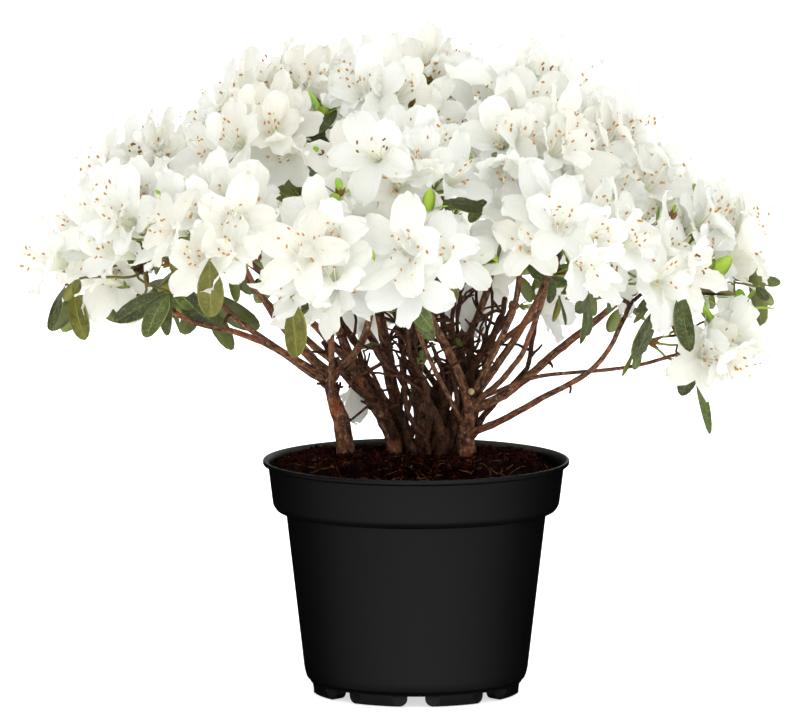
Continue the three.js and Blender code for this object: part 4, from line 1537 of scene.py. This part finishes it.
def flower_frame(facing, spin):
    """A 3 by 3 array that turns +Z to the way the flower faces and +Y up the plant, then spins it."""
    z = unit(facing)
    y = np.array([0, 0, 1.0]) - z * z[2]
    y = unit(y) if np.linalg.norm(y) > 0.15 else unit(np.cross(z, (1, 0, 0)))
    x = np.cross(y, z)
    cos, sin = math.cos(spin), math.sin(spin)
    return np.stack([x * cos + y * sin, -x * sin + y * cos, z], -1)


HIGHEST_PETAL = 2 * MM  # how far petals stand above the top mass; a bloom that would be higher sinks
BENDS_FROM = 30 * MM  # a flower bends to one side by its pull, times the square of its height over this
petals = {"front": Sheaf(), "back": Sheaf()}
for bloom in blooms:
    shape = int(np.argmin(np.abs(SHAPE_OPENNESS - bloom["openness"]) + petal_seed.random(SHAPES) * 0.12))
    bloom["frame"] = flower_frame(bloom["facing"], petal_seed.normal(0, 0.35))
    points = flower_shapes[shape] * MM * bloom["size"]
    points = points * (1 + petal_seed.normal(0, 0.045, 3))
    points[:, :2] *= bloom.get("closed", 1)
    pull = petal_seed.normal(0, 0.10, 2)
    height = points[:, 2:3] / BENDS_FROM
    points[:, :2] += pull * BENDS_FROM * height ** 2
    points = points @ bloom["frame"].T + bloom["foot"]
    over = max(0, points[:, 2].max() - crown_high - HIGHEST_PETAL)
    points[:, 2] -= over
    bloom["foot"] = bloom["foot"] - (0, 0, over)
    tint = int(petal_seed.choice(3, p=[0.5, 0.25, 0.25]))
    side = "front" if bloom["place"][1] < 0.0 else "back"
    petals[side].take(points, COROLLA_FACES, np.where(IN_THROAT, 3, tint), LOBE_CHART)
for side, sheaf in petals.items():
    sheaf.tied("blossom_" + side, petal_finishes, "foliage_and_blossom", MASSES, chart="lobe")


# ---- The stamens, flower stalks and bud scales ---------------------------------------------------
# Seven thin cream filaments with orange-brown anthers and one longer style stand out of each flower.
# A short green stalk holds the flower to its knot, among the brown scales of the old bud.

stamen_seed = np.random.default_rng(83)
STAMENS, STAMEN_POINTS = 7, 5
# How wide, both ways, and how long an anther and the tip of the style are.
ANTHER, STYLE_TIP = np.array([1.25, 1.25, 2.5]) * MM, np.array([1.5, 1.5, 1.1]) * MM
ASKEW = np.array([0.4, 0.1, 0.9])  # what small grains are turned about, a way nothing else faces
# Small scales: the calyx under a flower, the old bud round a truss's knot, and a bud still shut.
CALYX = {"count": 5, "lean": 0.5, "length": 5.2 * MM, "width": 2.6 * MM, "finish": 0}
OLD_BUD = {"count": 6, "lean": 0.45, "length": 8 * MM, "width": 4.0 * MM, "finish": 1}
SHUT_BUD = {"count": 6, "lean": 0.4, "length": 7 * MM, "width": 3.4 * MM, "finish": 1}


def plain_finish(name, first, second, roughness, scale=300):
    finish = Finish(name, {"Specular IOR Level": 0.3})
    where = finish.add("ShaderNodeTexCoord", output="Object")
    soft = finish.speckle(where, scale, 3)
    finish.feed(colour=finish.between(soft, first, second), roughness=roughness + soft * 0.1,
                normal=finish.raised(soft, 0.0002, 0.5))
    return finish.material


filament = plain_finish("filament", rgb(248, 245, 228), rgb(240, 236, 212), 0.5)
style_tip = plain_finish("style_tip", rgb(206, 206, 110), rgb(222, 216, 130), 0.4)
anther = plain_finish("anther", rgb(176, 116, 54), rgb(204, 150, 78), 0.65, 900)
anther_dark = plain_finish("anther_spent", rgb(112, 66, 36), rgb(150, 94, 50), 0.7, 900)
stalk_green = plain_finish("flower_stalk", rgb(118, 134, 56), rgb(146, 156, 80), 0.6)
bud_brown = plain_finish("bud_scale", rgb(92, 62, 28), rgb(140, 104, 52), 0.5)


def turned_to(direction, about):
    """A 3 by 3 array that turns +Z to a direction, and +Y to face about, as nearly as it can."""
    z = unit(direction)
    y = unit(about - z * (about @ z))
    return np.stack([np.cross(y, z), y, z], -1)


# A grain and a pointed scale, each 1 long and about 1 wide.
GRAIN, GRAIN_FACES = ringed(4, [(0.46, 0.14), (0.5, 0.86)], 0, 1)
SCALE, SCALE_FACES = ringed(4, [(0.42, 0.25), (0.46, 0.6)], 0, 1)
stamens, stalks = Sheaf(), Sheaf()
for bloom in blooms:
    turn, size, foot = bloom["frame"], bloom["size"], bloom["foot"]
    wide = 0.35 + 0.7 * bloom["openness"]
    t = np.linspace(0, 1, STAMEN_POINTS)[:, None]
    spent = stamen_seed.random() < 0.12
    for k in range(STAMENS + 1):
        style = k == STAMENS
        bearing = math.radians(360 / STAMENS * k + 54) + stamen_seed.normal(0, 0.3)
        out = (3.0 if style else stamen_seed.uniform(4, 13)) * wide
        long = 46 + stamen_seed.normal(0, 2) if style else stamen_seed.uniform(30, 42)
        end = np.array([out * math.cos(bearing), out * math.sin(bearing) + 2.5, long])
        start = np.array([0.7 * math.cos(bearing), 0.7 * math.sin(bearing), 4.0])
        bow = np.array([0.35 * end[0], 0.35 * end[1] - 3.6, long * 0.6])
        path = (1 - t) ** 2 * start + 2 * t * (1 - t) * bow + t * t * end
        path = (path * MM * size) @ turn.T + foot
        points, faces = tube(path, np.linspace(0.38, 0.27, STAMEN_POINTS) * MM, 3)
        stamens.take(points, faces, 0)
        ahead = unit(path[-1] - path[-2])
        if style:
            grain = GRAIN * STYLE_TIP @ turned_to(ahead, ASKEW).T
            stamens.take(grain + path[-1], GRAIN_FACES, 1)
        else:
            lean = unit(ahead + stamen_seed.normal(0, 0.7, 3))
            grain = (GRAIN - (0, 0, 0.5)) * ANTHER * stamen_seed.uniform(0.85, 1.15)
            grain = grain @ turned_to(lean, ASKEW).T
            stamens.take(grain + path[-1], GRAIN_FACES, 3 if spent else 2)
stamens.tied("stamens", [filament, style_tip, anther, anther_dark], "foliage_and_blossom", MASSES)


def ring_of_scales(foot, facing, count, lean, length, width, finish):
    """Small pointed scales round a stalk."""
    side = unit(np.cross(facing, (0.31, 0.2, 0.93)))
    for k in range(count):
        bearing = k * 2.4
        radial = math.cos(bearing) * side + math.sin(bearing) * np.cross(facing, side)
        long = length * stamen_seed.uniform(0.8, 1.2)
        shaped = SCALE * (width, width * 0.35, long) @ turned_to(facing + lean * radial, radial).T
        stalks.take(shaped + foot + radial * MM, SCALE_FACES, finish)


for truss in [truss for group in trusses.values() for truss in group]:
    for bloom in truss["blooms"]:
        away = unit(truss["facing"] + unit(bloom["foot"] - truss["knot"] + truss["facing"] * 1e-4))
        start, end = truss["knot"] - truss["facing"] * MM, bloom["foot"] + bloom["facing"] * (1.5 * MM)
        path = twig_path(start, away, end, bloom["facing"])
        radii = np.linspace(0.75, 0.85, len(path)) * MM
        radii[-1] = 1.5 * MM
        points, faces = tube(path, radii, 5)
        stalks.take(points, faces, 0)
        ring_of_scales(bloom["foot"], bloom["facing"], **CALYX)
    ring_of_scales(truss["knot"], truss["facing"], **OLD_BUD)
for knot, inner, heading, end in petioles:
    path = np.vstack([twig_path(knot, unit(inner - knot), inner, heading), end])
    points, faces = tube(path, np.linspace(0.85, 0.6, len(path)) * MM, 5)
    stalks.take(points, faces, 0)
for bud in buds:
    ring_of_scales(bud["foot"] - bud["facing"] * (4 * MM), bud["facing"], **SHUT_BUD)
stalks.tied("flower_stalks", [stalk_green, bud_brown], "foliage_and_blossom", MASSES)




# ---- The studio ----------------------------------------------------------------------------------
# A pale floor, a white room and large soft lamps, and a white card that only glossy things mirror. The
# camera stands five metres off and a little high.

CARD = {
    "radius": 1.3, "half_turn": math.radians(130), "low": -1.0, "high": 0.1, "columns": 32,
    "glow": 0.48, "dark_until": 0.36,
}
CAMERA = {"stands": (-0.01, -5.0, 0.852), "looks": (-0.01, 0, 0.2067), "lens": 366.5}


def studio_floor():
    start_afresh()
    bpy.ops.mesh.primitive_plane_add(size=40, location=(0, 0, -0.0004))
    floor = bpy.context.object
    floor.name = "studio_floor"
    finish = Finish("floor_paper", {
        "Base Color": (0.9, 0.9, 0.9, 1), "Roughness": 0.9, "Specular IOR Level": 0.1,
        "Emission Color": WHITE, "Emission Strength": 0.62,
    })
    floor.data.materials.append(finish.material)
    floor.visible_glossy = False


def white_card():
    """A curved white card stands round the front, below the table's edge. Only its mirror image in
    glossy things is seen: brightest straight before the plant, and fading to both sides."""
    columns, radius = CARD["columns"], CARD["radius"]
    turn = np.linspace(-CARD["half_turn"], CARD["half_turn"], columns + 1)
    round_card = [(radius * math.sin(a), -radius * math.cos(a)) for a in turn]
    points = [(x, y, z) for z in (CARD["low"], CARD["high"]) for x, y in round_card]
    faces = [(k + 1, k, k + columns + 1, k + columns + 2) for k in range(columns)]
    mesh = bpy.data.meshes.new("white_card")
    mesh.from_pydata(points, [], faces)
    card = bpy.data.objects.new("white_card", mesh)
    bpy.context.scene.collection.objects.link(card)
    finish = Finish("white_card", {"Base Color": BLACK, "Specular IOR Level": 0, "Emission Strength": 1})
    where = finish.add("ShaderNodeTexCoord", output="Object")
    apart = finish.add("ShaderNodeSeparateXYZ", {}, {0: where}, "Y")
    share = apart * (-0.5 / radius) + 0.5
    brightest = (CARD["glow"], CARD["glow"], CARD["glow"], 1)
    ramp = finish.graded(share, [(CARD["dark_until"], BLACK), (1.0, brightest)])
    finish.plug(finish.shader.inputs["Emission Color"], ramp)
    mesh.materials.append(finish.material)
    for rays in ("camera", "diffuse", "transmission", "shadow"):
        setattr(card, "visible_" + rays, False)


def softbox(name, place, toward, size, power):
    lamp = bpy.data.lights.new(name, "AREA")
    lamp.shape, lamp.size, lamp.size_y, lamp.energy = "RECTANGLE", size[0], size[1], power
    holder = bpy.data.objects.new(name, lamp)
    bpy.context.scene.collection.objects.link(holder)
    holder.location = place
    holder.rotation_euler = (Vector(toward) - Vector(place)).to_track_quat("-Z", "Y").to_euler()
    holder.visible_camera = False


def white_room():
    world = bpy.data.worlds.new("white_room")
    bpy.context.scene.world = world
    world.use_nodes = True
    nodes, links = world.node_tree.nodes, world.node_tree.links
    way, apart = nodes.new("ShaderNodeTexCoord"), nodes.new("ShaderNodeSeparateXYZ")
    links.new(way.outputs["Generated"], apart.inputs[0])
    depth = nodes.new("ShaderNodeMapRange")  # the room is brighter before the plant than behind it
    depth.inputs["From Min"].default_value, depth.inputs["From Max"].default_value = -1, 1
    depth.inputs["To Min"].default_value, depth.inputs["To Max"].default_value = 1.08, 0.94
    links.new(apart.outputs["Y"], depth.inputs["Value"])
    seen = nodes.new("ShaderNodeLightPath")
    glow = nodes.new("ShaderNodeMapRange")
    glow.inputs["To Max"].default_value = 1.05
    links.new(depth.outputs["Result"], glow.inputs["To Min"])
    links.new(seen.outputs["Is Camera Ray"], glow.inputs["Value"])
    room = nodes["Background"]
    room.inputs["Color"].default_value = (1, 1, 1, 1)
    links.new(glow.outputs["Result"], room.inputs["Strength"])
    world.cycles_visibility.glossy = False


def stand_camera():
    lens = bpy.data.cameras.new("camera")
    lens.lens, lens.sensor_width = CAMERA["lens"], 36
    lens.clip_end = 100
    camera = bpy.data.objects.new("camera", lens)
    bpy.context.scene.collection.objects.link(camera)
    camera.location = CAMERA["stands"]
    toward = Vector(CAMERA["looks"]) - Vector(CAMERA["stands"])
    camera.rotation_euler = toward.to_track_quat("-Z", "Y").to_euler()
    bpy.context.scene.camera = camera


studio_floor()
white_card()
white_room()
stand_camera()
softbox("key", (-1.7, -2.5, 1.9), (0, 0, 0.25), (1.6, 1.6), 5)
softbox("fill", (2.2, -2.6, 1.1), (0, 0, 0.2), (1.6, 1.8), 12)
softbox("front", (0, -3.4, 0.36), (0, 0, 0.12), (2.6, 0.6), 8)
softbox("top", (0.2, 0.6, 2.4), (0, 0, 0.3), (2.0, 2.0), 28)
softbox("behind", (0.4, 3.2, 1.6), (0, 0, 0.25), (2.0, 1.6), 12)
bpy.context.scene.view_settings.view_transform = "Standard"
